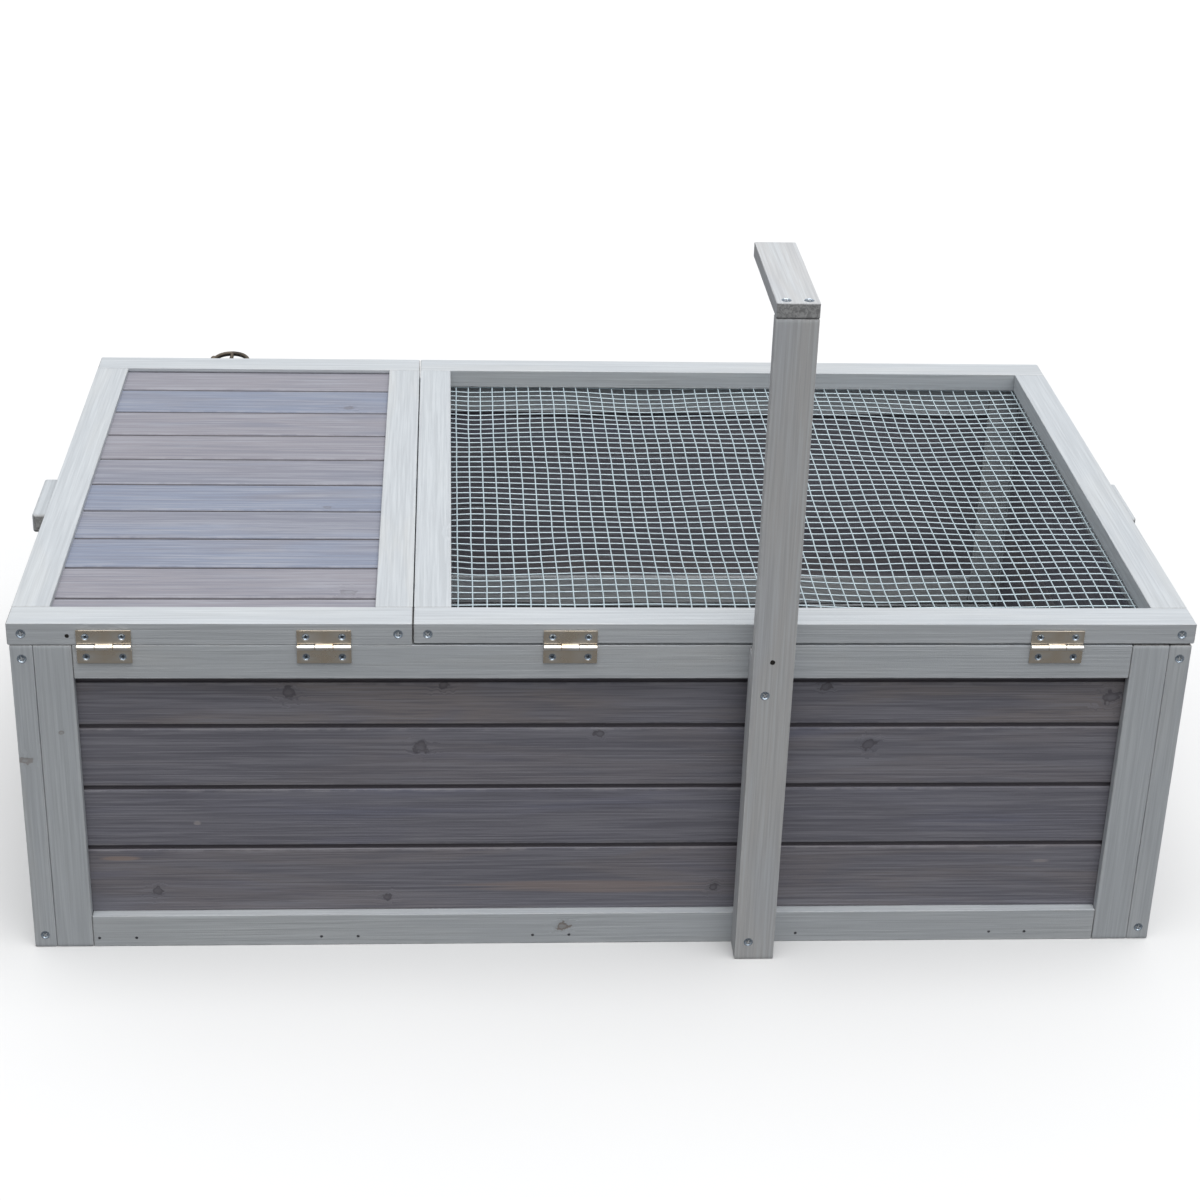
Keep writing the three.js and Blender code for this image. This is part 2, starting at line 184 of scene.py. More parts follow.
def wood(name, tint, knots=(), across=2, marks=()):
    """Stained softwood. tint gives its colours and how strongly each feature shows. Its pieces carry where
    they lie in the grain, and their look: wear and painted light (below 0 is painted shade in the joints,
    with pooled stain), tone, and end grain."""
    graph = material_graph(name)
    grain = graph.attribute("grain")
    wear_and_painted_light, tone, end = graph.parts(graph.attribute("look"))

    cell_place = graph.vector("MULTIPLY", grain, KNOT_SCALE)
    cells = graph.node("ShaderNodeTexVoronoi", {"Vector": cell_place, "Scale": 1.0, "Randomness": 0.9}).node
    chosen = graph.math("LESS_THAN", graph.parts(cells.outputs["Color"])[0], tint["knots"])
    near = graph.times(graph.fade(cells.outputs["Distance"], 0.0, 0.34, 1.0, 0.0), chosen)
    offset = graph.vector("SUBTRACT", cell_place, cells.outputs["Position"])
    shift = graph.times(graph.parts(offset)[1], graph.times(near, -KNOT_BEND))
    uneven = graph.fade(graph.noise(graph.place(), UNEVEN_SCALE, detail=2.0), 0.3, 0.7, 0.62, 1.38)
    for centre, size in knots:
        near, shift = add_knot(graph, near, shift, uneven, across, centre, size)
    bent = graph.vector("ADD", grain, graph.node("ShaderNodeCombineXYZ", {1: shift}))

    ring_field = graph.noise(bent, RING_SCALE, detail=1.5, rough=0.45)
    figure = graph.fade(graph.math("SINE", graph.times(ring_field, tint["rings"]), None), -0.2, 1.0)
    streak = graph.noise(bent, STREAK_SCALE, detail=4.0, rough=0.62, bend=0.3)
    fibre = graph.noise(bent, FIBRE_SCALE, rough=0.65)
    patch = graph.noise(grain, PATCH_SCALE, detail=4.0, bend=0.5)
    cloud = graph.noise(graph.vector("ADD", grain, CLOUD_SHIFT), CLOUD_SCALE, detail=4.0)
    pale = graph.times(graph.fade(streak, 0.52, 0.34), graph.fade(cloud, 0.48, 0.62))
    color = tint["base"]
    for amount, shade in (
        (graph.fade(streak, 0.40, 0.62, 0.0, tint["streak"]), "dark"),
        (graph.times(figure, tint["figure"]), "dark"),
        (graph.fade(graph.plus(patch, tone), 0.44, 0.66, 0.0, tint["warmth"]), "warm"),
        (graph.fade(graph.minus(patch, tone), 0.50, 0.72, 0.0, tint["coolness"]), "cool"),
        (graph.times(pale, tint["pale"]), "light"),
        (graph.fade(fibre, 0.51, 0.63, 0.0, tint["fibre"]), "light"),
        (graph.fade(fibre, 0.50, 0.39, 0.0, tint["fibre"]), "dark"),
    ):
        color = graph.blend(amount, color, tint[shade])
    for mark in marks:
        color = add_mark(graph, color, streak, *mark)

    halo = graph.fade(near, 0.15, 0.7, 0.0, 0.32)
    ragged = graph.plus(near, graph.times(graph.minus(streak, 0.5), 0.4))
    core = graph.fade(ragged, 0.62, 0.74)
    bark = graph.minus(core, graph.fade(ragged, 0.80, 1.0, 0.0, 0.5))
    scuff = graph.noise(grain, SCUFF_SCALE, rough=0.6)
    rubbed = graph.times(wear_and_painted_light, graph.fade(scuff, 0.42, 0.62), clamp=True)
    end_rings = graph.fade(graph.noise(grain, END_SCALE, detail=4.0, bend=1.0), 0.42, 0.6)
    for amount, shade in (
        (graph.times(halo, tint["knot_mark"]), tint["dark"]),
        (graph.times(bark, tint["knot_mark"]), tint["knot"]),
        (graph.times(rubbed, tint["edge"]), tint["bare"]),
        # Painted shade in the joints, with pooled stain: darkened towards the knot colour where the look's
        # first value is below 0.
        (graph.fade(wear_and_painted_light, 0.0, -1.0, 0.0, 0.93), tint["knot"]),
        (graph.times(end, 0.85, clamp=True), graph.blend(end_rings, tint["end_dark"], tint["end_light"])),
    ):
        color = graph.blend(amount, color, shade)

    rough = graph.fade(streak, 0.35, 0.65, tint["rough"] - ROUGH_BELOW, tint["rough"] + ROUGH_ABOVE)
    rough = graph.minus(rough, graph.times(core, KNOT_GLOSS))
    grit = graph.noise(grain, GRIT_SCALE, detail=2.0)
    height = graph.times(fibre, 0.6)
    for feature, weight in ((streak, 0.6), (figure, -0.16), (grit, 0.15), (core, -0.3), (rubbed, -0.4)):
        height = graph.plus(height, graph.times(feature, weight))
    return graph.finish(color, rough, graph.bump(height, WOOD_RELIEF, tint["relief"]), shine=tint["shine"])


FRAME_TINT = dict(
    base=(0.506, 0.534, 0.562), dark=(0.414, 0.437, 0.460), light=(0.594, 0.624, 0.650),
    warm=(0.540, 0.545, 0.540), cool=(0.490, 0.533, 0.575), bare=(0.650, 0.660, 0.665),
    knot=(0.260, 0.225, 0.205), end_dark=(0.26, 0.25, 0.24), end_light=(0.42, 0.42, 0.41),
    knots=0.035, knot_mark=0.6, rings=42.0, streak=0.2, figure=0.06, pale=0.12, warmth=0.6,
    coolness=0.4, fibre=0.45, edge=0.5, rough=0.66, relief=0.8, shine=0.35,
)
WALL_TINT = dict(
    base=(0.215, 0.212, 0.245), dark=(0.140, 0.138, 0.165), light=(0.275, 0.272, 0.305),
    warm=(0.250, 0.225, 0.225), cool=(0.180, 0.188, 0.250), bare=(0.340, 0.330, 0.345),
    knot=(0.085, 0.078, 0.090), end_dark=(0.10, 0.095, 0.105), end_light=(0.18, 0.17, 0.18),
    knots=0.15, knot_mark=0.66, rings=46.0, streak=0.36, figure=0.30, pale=0.15, warmth=0.9,
    coolness=0.85, fibre=0.58, edge=0.45, rough=0.62, relief=0.9, shine=0.35,
)
LID_TINT = dict(
    base=(0.256, 0.266, 0.322), dark=(0.198, 0.203, 0.250), light=(0.350, 0.362, 0.410),
    warm=(0.284, 0.272, 0.305), cool=(0.228, 0.262, 0.350), bare=(0.390, 0.395, 0.430),
    knot=(0.160, 0.150, 0.165), end_dark=(0.12, 0.11, 0.12), end_light=(0.20, 0.19, 0.20),
    knots=0.0, knot_mark=0.5, rings=44.0, streak=0.6, figure=0.34, pale=0.6, warmth=0.9,
    coolness=0.9, fibre=0.6, edge=0.4, rough=0.55, relief=0.8, shine=0.4,
)
POST_TINT = {
    **FRAME_TINT, "base": (0.502, 0.517, 0.540), "dark": (0.412, 0.422, 0.438), "warm": (0.535, 0.520, 0.502),
    "streak": 0.14, "knots": 0.03, "end_dark": (0.20, 0.20, 0.20), "end_light": (0.37, 0.37, 0.37),
}
SILL_TINT = {**FRAME_TINT, "knots": 0.0, "knot_mark": 0.9}
HINGE_WALL_TINT = {**WALL_TINT, "knots": 0.0}

# Knots in sight, in mm: the place along X, the place up (or across the lid), and the size
BOARD_FACE = -286
RAIL_FACE = -295
LID_FACE = 299.5
WALL_KNOTS = (
    (-257, 237, 3.6), (-133, 244, 2.8), (-151, 186, 3.3), (-5, 199, 2.7), (178, 242, 2.9),
    (217, 188, 3.4), (416, 232, 4.2), (-371, 49, 2.8), (-180, 41, 2.5), (96, 49, 2.4),
)
RAIL_KNOTS = ((-32, 17, 2.8),)
STRIP_KNOTS = ((-469, 180, 2.5), (-438, 206, 1.3))
LID_KNOTS = ((-210, -229, 3.4), (-225, 173, 3.2), (-234, -60, 2.4))
# Blemishes in the hinge wall's boards, in mm: the place, the reach along X and up, the colour, the strength
BROWN_STREAK = (0.330, 0.262, 0.235)
PALE_SCAR = (0.420, 0.385, 0.385)
MARK_DEPTH = 9
WALL_MARKS = (
    (-6, 52, 112, 6, BROWN_STREAK, 0.55), (-335, 115, 3.5, 2.4, PALE_SCAR, 0.6),
    (-400, 81, 16, 2.2, BROWN_STREAK, 0.8), (374, 74, 10, 2.0, PALE_SCAR, 0.5),
)


def upright_knots(face, rows):
    return [((x * MM, face * MM, z * MM), size * MM) for x, z, size in rows]


def flat_knots(face, rows):
    return [((x * MM, y * MM, face * MM), size * MM) for x, y, size in rows]


def wall_marks():
    for x, z, reach, rise, stain, strength in WALL_MARKS:
        yield (x * MM, BOARD_FACE * MM, z * MM), (reach * MM, MARK_DEPTH * MM, rise * MM), stain, strength


def metal(name, base, dark, light, rough, pattern, scratch, metallic=1.0, edge=0.0, scuffs=0.5):
    """Plated or coated metal: blotches, fine scratches and, where edge is set, lighter rubbed corners. On the
    pull's bar the same lightening is rubbing with a painted highlight along the top.
    """
    graph = material_graph(name)
    place = graph.place()
    wear_and_painted_light = graph.parts(graph.attribute("look"))[0]
    blotch = graph.noise(place, pattern, detail=4.0, rough=0.6)
    fine = graph.noise(place, pattern * 9, detail=2.0)
    lines = graph.noise(place, scratch, rough=0.65)
    color = graph.blend(graph.fade(blotch, 0.35, 0.65), base, dark)
    color = graph.blend(graph.fade(lines, 0.52, 0.75, 0.0, scuffs), color, light)
    color = graph.blend(graph.fade(fine, 0.6, 0.8, 0.0, 0.4), color, dark)
    # Lighter where the look's first value is high: rubbed corners, and along the top of the pull's bar
    # rubbing with a painted highlight.
    rubbed = graph.times(wear_and_painted_light, graph.fade(blotch, 0.3, 0.6, 0.0, edge), clamp=True)
    color = graph.blend(rubbed, color, light)
    roughness = graph.fade(blotch, 0.3, 0.7, rough - 0.06, rough + 0.1)
    height = graph.plus(graph.times(lines, 0.6), graph.times(fine, 0.4))
    return graph.finish(color, roughness, graph.bump(height, 0.08 * MM, 0.5), metallic)


ZINC_BRIGHT = (0.70, 0.79, 0.88)
ZINC_DULL = (0.46, 0.56, 0.68)
ZINC_DIRT = (0.20, 0.24, 0.30)
SCREW_SHADOW = (0.035, 0.045, 0.06)
SCREW_DISH = 1.3 * MM


def screw_metal():
    """Zinc-plated screw head: a dished bright face, with painted shade down in the drive recess and round the
    countersunk rim.
    """
    graph = material_graph("zinc_screws")
    place = graph.place()
    reach = graph.length(graph.attribute("grain"))
    blotch = graph.noise(place, 700.0, detail=4.0, rough=0.6)
    dirt = graph.noise(place, 1900.0)
    color = graph.blend(graph.fade(blotch, 0.38, 0.62), ZINC_BRIGHT, ZINC_DULL)
    color = graph.blend(graph.fade(dirt, 0.52, 0.7, 0.0, 0.6), color, ZINC_DIRT)
    uneven = graph.plus(reach, graph.times(graph.minus(blotch, 0.5), 0.16))
    # Painted shade round the countersunk rim and down in the drive recess.
    rim = graph.fade(uneven, 0.88, 0.96)
    centre = graph.fade(uneven, 0.54, 0.36, 0.0, 0.92)
    shade = graph.math("MAXIMUM", rim, centre)
    color = graph.blend(shade, color, SCREW_SHADOW)
    height = graph.plus(graph.fade(reach, 0.42, 1.0), graph.times(dirt, 0.05))
    rough = graph.fade(dirt, 0.4, 0.7, 0.2, 0.34)
    # The painted shade also dulls the metal's reflection there.
    metallic = graph.fade(shade, 0.0, 1.0, 0.75, 0.0)
    shine = graph.fade(shade, 0.0, 1.0, 0.5, 0.03)
    return graph.finish(color, rough, graph.bump(height, SCREW_DISH), metallic, shine)


PLASTIC_BLACK = (0.020, 0.020, 0.023)
PLASTIC_DUSTY = (0.040, 0.040, 0.043)
PLASTIC_SCUFF = (0.085, 0.085, 0.088)
PLASTIC_PEBBLE = (0.06, 0.06, 0.062)


def plastic():
    """Dark moulded tray: fine pebbled surface, scuffs from cleaning, a little dust."""
    graph = material_graph("tray_plastic")
    place = graph.place()
    pebble = graph.noise(place, 900.0, detail=2.0)
    scuff = graph.noise(place, (14.0, 120.0, 14.0), detail=5.0, rough=0.7)
    dust = graph.noise(place, 7.0, detail=4.0, rough=0.6)
    color = graph.blend(graph.fade(dust, 0.35, 0.75), PLASTIC_BLACK, PLASTIC_DUSTY)
    color = graph.blend(graph.fade(scuff, 0.58, 0.75, 0.0, 0.5), color, PLASTIC_SCUFF)
    color = graph.blend(graph.fade(pebble, 0.62, 0.8, 0.0, 0.3), color, PLASTIC_PEBBLE)
    rough = graph.fade(scuff, 0.3, 0.7, 0.42, 0.6)
    height = graph.plus(graph.times(pebble, 0.7), graph.times(scuff, 0.5))
    return graph.finish(color, rough, graph.bump(height, 0.15 * MM, 0.6))


def floor_paint():
    graph = material_graph("studio_floor")
    mottle = graph.noise(graph.place(), 3.0)
    color = graph.blend(mottle, (0.775, 0.775, 0.775), (0.79, 0.79, 0.79))
    return graph.finish(color, 0.9, graph.bump(mottle, 0.1 * MM, 0.1), shine=0.1)


FRAME_WOOD = wood("frame_wood", FRAME_TINT, upright_knots(RAIL_FACE, STRIP_KNOTS))
SILL_WOOD = wood("frame_wood_hinge_side", SILL_TINT, upright_knots(RAIL_FACE, RAIL_KNOTS))
WALL_WOOD = wood("wall_boards", WALL_TINT)
HINGE_WALL_WOOD = wood(
    "wall_boards_hinge_side", HINGE_WALL_TINT, upright_knots(BOARD_FACE, WALL_KNOTS), marks=wall_marks(),
)
LID_WOOD = wood("lid_boards", LID_TINT, flat_knots(LID_FACE, LID_KNOTS), across=1)
POST_WOOD = wood("post_wood", POST_TINT)
NICKEL = metal(
    "hinge_nickel", (0.93, 0.805, 0.645), (0.84, 0.73, 0.59), (0.98, 0.98, 0.96),
    rough=0.30, pattern=60.0, scratch=(60.0, 60.0, 700.0), scuffs=0.15, edge=0.95,
)
ZINC = metal(
    "zinc_staples", (0.50, 0.56, 0.62), (0.30, 0.36, 0.42), (0.78, 0.82, 0.86),
    rough=0.30, pattern=500.0, scratch=(300.0, 300.0, 300.0), edge=0.7,
)
SCREW_ZINC = screw_metal()
GALVANISED = metal(
    "galvanised_wire", (0.57, 0.68, 0.73), (0.47, 0.57, 0.62), (0.74, 0.82, 0.86),
    rough=0.50, pattern=110.0, scratch=(60.0, 60.0, 900.0), metallic=0.3, edge=0.2,
)
NAIL_STEEL = metal(
    "nail_steel", (0.24, 0.25, 0.27), (0.10, 0.10, 0.11), (0.55, 0.57, 0.60),
    rough=0.42, pattern=600.0, scratch=(300.0, 300.0, 300.0),
)
# Dark antique bronze. Its light colour, laid along the top of the pull's bar, is rubbing with a painted
# highlight.
BRONZE = metal(
    "pull_bronze", (0.026, 0.021, 0.018), (0.012, 0.010, 0.009), (0.40, 0.32, 0.23),
    rough=0.42, pattern=160.0, scratch=(500.0, 120.0, 500.0), metallic=0.45, edge=0.5, scuffs=0.15,
)
TRAY_PLASTIC = plastic()
# Painted shade: a near-black lining that stands for the dark inside of a deep hole.
PAINTED_HOLE_SHADE = metal(
    "drilled_hole_painted_shade", (0.020, 0.017, 0.014), (0.008, 0.007, 0.006), (0.06, 0.05, 0.045),
    rough=0.8, pattern=900.0, scratch=(900.0, 900.0, 900.0), metallic=0.0,
)


# --- Mesh building ---

# Points that agree when multiplied by this and rounded are one
POINT_MERGE = 1e7
NORMAL_WEIGHT = 80


class Shape:
    """A mesh in the making. Each point keeps the grain and look values that the materials read."""

    def __init__(self):
        self.points = []
        self.faces = []
        self.grain = []
        self.look = []
        self.known = {}

    def point(self, place, grain, look):
        key = tuple(round(value * POINT_MERGE) for value in place)
        if key not in self.known:
            self.known[key] = len(self.points)
            self.points.append(tuple(place))
            self.grain.append(tuple(grain))
            self.look.append(look)
        return self.known[key]

    def worn(self, place, wear_and_painted_light):
        """A point of a piece that has no grain."""
        return self.point(place, place, (wear_and_painted_light, 0.0, 0.0))

    def face(self, corners):
        loop = [corner for index, corner in enumerate(corners) if corner != corners[index - 1]]
        if len(set(loop)) == len(loop) > 2:
            self.faces.append(loop)

    def skin(self, rings, capped=True):
        """Faces between rings of point numbers, and a cap at each end."""
        for ring, following in zip(rings, rings[1:]):
            for index, here in enumerate(ring):
                after = (index + 1) % len(ring)
                self.face([here, ring[after], following[after], following[index]])
        if capped:
            self.face(rings[0][::-1])
            self.face(rings[-1])


def put_in_scene(name, data):
    holder = bpy.data.objects.new(name, data)
    bpy.context.scene.collection.objects.link(holder)
    return holder


def make_piece(name, shape, material, body, *nodes):
    """Turns a shape into a piece that rides on its body and stands for its CAD nodes."""
    mesh = bpy.data.meshes.new(name)
    mesh.from_pydata(shape.points, [], shape.faces)
    for label, values in (("grain", shape.grain), ("look", shape.look)):
        layer = mesh.attributes.new(label, "FLOAT_VECTOR", "POINT")
        layer.data.foreach_set("vector", [part for value in values for part in value])
    work = bmesh.new()
    work.from_mesh(mesh)
    bmesh.ops.recalc_face_normals(work, faces=work.faces)
    for face in work.faces:
        face.smooth = True
    work.to_mesh(mesh)
    work.free()
    mesh.materials.append(material)
    piece = put_in_scene(name, mesh)
    weighting = piece.modifiers.new("weighted_normals", "WEIGHTED_NORMAL")
    weighting.keep_sharp = True
    weighting.weight = NORMAL_WEIGHT
    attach(piece, body)
    if nodes:
        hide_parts(*nodes)


def spaced(low, high, pitch):
    """Places from low to high, about a pitch apart."""
    count = max(1, round((high - low) / pitch))
    return [low + (high - low) * step / count for step in range(count + 1)]


def rectangle(low, high):
    corners = ((low.x, low.y), (high.x, low.y), (high.x, high.y), (low.x, high.y))
    return [Vector(corner) for corner in corners]


def paced(spot, pace):
    """Where to read noise for a spot, so that it changes as fast as pace says."""
    return Vector([value * rate for value, rate in zip(spot, pace)])


def facing_frame(toward):
    """Three axes with the last one along toward."""
    out = Vector(toward).normalized()
    side = (Vector((0, 0, 1)) if abs(out.z) < 0.9 else Vector((1, 0, 0))).cross(out).normalized()
    return side, out.cross(side), out


def around(sides):
    """The cosine and sine of each step round a circle."""
    for step in range(sides):
        turn = 2 * math.pi * step / sides
        yield math.cos(turn), math.sin(turn)


def turned(shape, base, toward, profile, sides, uneven=(0.0, 0.0, 0.0)):
    """Rings round the line from base toward a side. profile gives each one's distance, radius and wear.
    uneven is how much the radius strays, how often it does so round a ring, and where its noise starts."""
    side, rise, out = facing_frame(toward)
    amount, pace, seed = uneven
    rings = []
    for along, radius, wear_and_painted_light in profile:
        ring = []
        for x, y in around(sides):
            stray = 1 + amount * noise.noise(Vector((x * pace, y * pace, seed)))
            spot = Vector(base) + out * along + (side * x + rise * y) * (radius * stray)
            ring.append(shape.worn(spot, wear_and_painted_light))
        rings.append(ring)
    return rings


def rod(shape, route, radii, sides, wear_and_light_at):
    """A round bar along a list of places. The given function sets each point's wear, and any painted light,
    from how high on the bar it lies.
    """
    rings = []
    for index, (here, radius) in enumerate(zip(route, radii)):
        ahead = (route[min(index + 1, len(route) - 1)] - route[max(index - 1, 0)]).normalized()
        side = ahead.cross(Vector((0, 0, 1)) if abs(ahead.z) < 0.9 else Vector((1, 0, 0))).normalized()
        rise = side.cross(ahead)
        rings.append([
            shape.worn(here + (side * x + rise * y) * radius, wear_and_light_at(y)) for x, y in around(sides)
        ])
    shape.skin(rings)


# --- Timber ---

# A section is a ring of (point, wear): rubbed at its eased corners, and plain along its flat sides
EASE = 0.9 * MM
CORNER_WEAR = (0.25, 0.8, 1.0, 0.8, 0.25)
NOTCH_WEAR = 0.2
SHOULDER = 2.6 * MM
FACE_PITCH = 10 * MM
STATION_PITCH = 13 * MM
STATION_ROOM = 1.5 * MM
# Points closer than this are one place, and a step in a section takes this much length
TOUCHING = 1e-7
STEP_GAP = 1e-6
# Ends are eased in three rings: how far each has come from the very end
END_TURN = (0.0, 0.29, 1.0)
END_WEAR = 0.9
# How worn edges stray: slowly, and in dents where the noise is above a level
EDGE_ROLL = 0.12 * MM
EDGE_DENT = 0.35 * MM
DENT_LEVEL = 0.28
ROLL_PACE = (45, 30, 30)
DENT_PACE = (160, 60, 60)
GRAIN_REACH = 20
TONE_REACH = 0.06


def corner_group(before, here, after, radius):
    """Points round an eased corner."""
    start = here + (before - here).normalized() * radius
    end = here + (after - here).normalized() * radius
    group = []
    for step, wear_and_painted_light in enumerate(CORNER_WEAR):
        turn = step / (len(CORNER_WEAR) - 1)
        group.append((start.lerp(here, turn).lerp(here.lerp(end, turn), turn), wear_and_painted_light))
    return group


def face_fractions(length):
    """Where points lie along a flat side: a shoulder near each end, and an even spread between."""
    if length < 3 * SHOULDER:
        return [0.5]
    edge = SHOULDER / length
    count = max(1, round((length - 2 * SHOULDER) / FACE_PITCH))
    return [edge + (1 - 2 * edge) * step / count for step in range(count + 1)]


def close_section(groups, fractions):
    ring = []
    for index, group in enumerate(groups):
        ring.extend(group)
        start = group[-1][0]
        end = groups[(index + 1) % len(groups)][0][0]
        ring.extend((start.lerp(end, part), 0.0) for part in fractions[index])
    return ring


def neighbour(ring, index, way):
    """The nearest point of a ring, going one way round, that lies somewhere else."""
    here = ring[index][0]
    for step in range(1, len(ring)):
        point = ring[(index + way * step) % len(ring)][0]
        if (point - here).length > TOUCHING:
            return point
    return here


def inset(ring, distance):
    """A section's ring moved inwards, for an eased end."""
    moved = []
    for index, (point, wear_and_painted_light) in enumerate(ring):
        tangent = (neighbour(ring, index, 1) - neighbour(ring, index, -1)).normalized()
        moved.append((point + Vector((-tangent.y, tangent.x)) * distance, wear_and_painted_light))
    return moved


class Lumber:
    """Where one length of timber lies: its axis, its two section axes, and its own stretch of grain."""

    def __init__(self, name, axes, tone=0.0):
        dice = random.Random(name)
        self.axes = axes
        self.offset = Vector([dice.uniform(-GRAIN_REACH, GRAIN_REACH) for _ in range(3)])
        self.tone = tone + dice.uniform(-TONE_REACH, TONE_REACH)

    def put(self, shape, spot, wear_and_painted_light, end=0.0):
        """One point. spot is how far it lies along the timber, across it and through it."""
        place = [0.0, 0.0, 0.0]
        for axis, value in zip(self.axes, spot):
            place[axis] = value
        return shape.point(place, self.offset + Vector(spot), (wear_and_painted_light, self.tone, end))

    def dented(self, shape, along, point, wear_and_painted_light, end=0.0):
        """One point of a section, pulled in a little where the edge is worn."""
        spot = (along, point.x, point.y)
        roll = noise.noise(paced(spot, ROLL_PACE) + self.offset)
        dent = noise.noise(paced(spot, DENT_PACE) - self.offset)
        pull = max(0.0, wear_and_painted_light) * (EDGE_ROLL * roll + EDGE_DENT * max(0.0, dent - DENT_LEVEL))
        inward = self.middle - point
        if inward.length > 0:
            point = point + inward.normalized() * pull
        return self.put(shape, (along, point.x, point.y), wear_and_painted_light, end)

    def end_ring(self, shape, along, ring, ease, turn):
        return [
            self.dented(shape, along, point, max(wear_and_painted_light, END_WEAR - turn), 1.0 - turn)
            for point, wear_and_painted_light in inset(ring, ease * (1 - turn))
        ]

    def loft(self, shape, stations, ease):
        """Skins the timber, with eased ends. stations are places along it, each with its section's ring."""
        (low, first), (high, last) = stations[0], stations[-1]
        self.middle = sum((point for point, _ in first), Vector((0.0, 0.0))) / len(first)
        rings = [self.end_ring(shape, low + ease * turn, first, ease, turn) for turn in END_TURN]
        for along, ring in stations[1:-1]:
            rings.append([self.dented(shape, along, point, wear_and_painted_light) for point, wear_and_painted_light in ring])
        for turn in reversed(END_TURN):
            rings.append(self.end_ring(shape, high - ease * turn, last, ease, turn))
        shape.skin(rings)


def sections(low, high, pocket, ease):
    """Whole and cut section of a bar as groups of points: a rectangle, and what a pocket takes out of it."""
    corners = rectangle(low, high)
    whole, cut = [], []
    for index, here in enumerate(corners):
        before, after = corners[index - 1], corners[(index + 1) % 4]
        eased = corner_group(before, here, after, ease)
        whole.append(eased)
        if pocket and pocket[0].x < here.x < pocket[1].x and pocket[0].y < here.y < pocket[1].y:
            inner_x = pocket[0].x if here.x == high.x else pocket[1].x
            inner_y = pocket[0].y if here.y == high.y else pocket[1].y
            sides = [Vector((inner_x, here.y)), Vector((here.x, inner_y))]
            first, last = sides if before.y == here.y else reversed(sides)
            inner = Vector((inner_x, inner_y))
            route = (first, first.lerp(inner, 0.5), inner, inner.lerp(last, 0.5), last)
            cut.append([(point, NOTCH_WEAR) for point in route])
        else:
            cut.append(eased)
        groove = pocket and groove_groups(here, after, pocket)
        if groove:
            whole.append(groove[0])
            cut.append(groove[1])
    return whole, cut


def groove_groups(here, after, pocket):
    """A groove in the middle of an upright side: five points flat on it, and five down in the groove."""
    if here.x != after.x or not pocket[0].x < here.x < pocket[1].x:
        return None
    first, last = sorted((pocket[0].y, pocket[1].y), reverse=after.y < here.y)
    low, high = sorted((here.y, after.y))
    if not (low < first < high and low < last < high):
        return None
    deep_x = min((pocket[0].x, pocket[1].x), key=lambda value: abs(value - here.x))
    mid = (first + last) / 2
    flat = [(here.x, level) for level in (first, first, mid, last, last)]
    deep = [(here.x, first), (deep_x, first), (deep_x, mid), (deep_x, last), (here.x, last)]
    return [[(Vector(point), 0.0) for point in points] for points in (flat, deep)]


def timber(name, axis, material, pocket=None, ease=EASE):
    """A batten in its CAD node's box. pocket is the box that the panel beside it cuts out of it."""
    low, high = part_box(name)
    axes = (axis, (axis + 1) % 3, (axis + 2) % 3)

    def flat(corner):
        return Vector((corner[axes[1]], corner[axes[2]]))

    hole = pocket and (flat(pocket[0]), flat(pocket[1]))
    whole, cut = sections(flat(low), flat(high), hole, ease)
    fractions = []
    for index, group in enumerate(whole):
        following = whole[(index + 1) % len(whole)]
        fractions.append(face_fractions((following[0][0] - group[-1][0]).length))
    rings = (close_section(whole, fractions), close_section(cut, fractions))
    places = [low[axis], *spaced(low[axis] + 4 * ease, high[axis] - 4 * ease, STATION_PITCH), high[axis]]
    stations = [(place, False) for place in places]
    if pocket:
        start, stop = pocket[0][axis], pocket[1][axis]
        stations = [(place, start < place < stop) for place in places]
        for edge, before in ((start, False), (stop, True)):
            if low[axis] + 2 * ease < edge < high[axis] - 2 * ease:
                stations = [station for station in stations if abs(station[0] - edge) > STATION_ROOM]
                stations += [(edge, before), (edge + STEP_GAP, not before)]
        stations.sort()
    shape = Shape()
    Lumber(name, axes).loft(shape, [(place, rings[is_cut]) for place, is_cut in stations], ease)
    make_piece(name, shape, material, BODY_OF[name], name)


# --- Tongue-and-groove boards ---

BOARD_PITCH = 57.3 * MM
WALL_JOINT_DROP = 78.7 * MM
WALL_JOINTS = 3
LID_JOINT_FIRST = -240.5 * MM
LID_JOINTS = 9
VEE_HALF = 2.4 * MM
VEE_DEPTH = 1.5 * MM
JOINT_GAP = 3.2 * MM
BACK_GAP = 0.15 * MM
TOP_GAP = 6.8 * MM
TONGUE = 5.2 * MM
TONGUE_HALF = 1.3 * MM
TONGUE_PLAY = 0.2 * MM
BOARD_EASE = 0.35 * MM
BOARD_END = 2 * MM
BOARD_WEAR = 0.8
# The look value for points inside a joint: painted shade there, with pooled stain.
JOINT_SHADE_AND_STAIN = -1.0
PLAY = 0.3 * MM
# How much browner each lid board looks, from the hinge side to the far side: below 0 is bluer
LID_TONES = (0.20, 0.24, -0.16, -0.02, -0.22, 0.05, 0.22, 0.16, -0.24, 0.26)


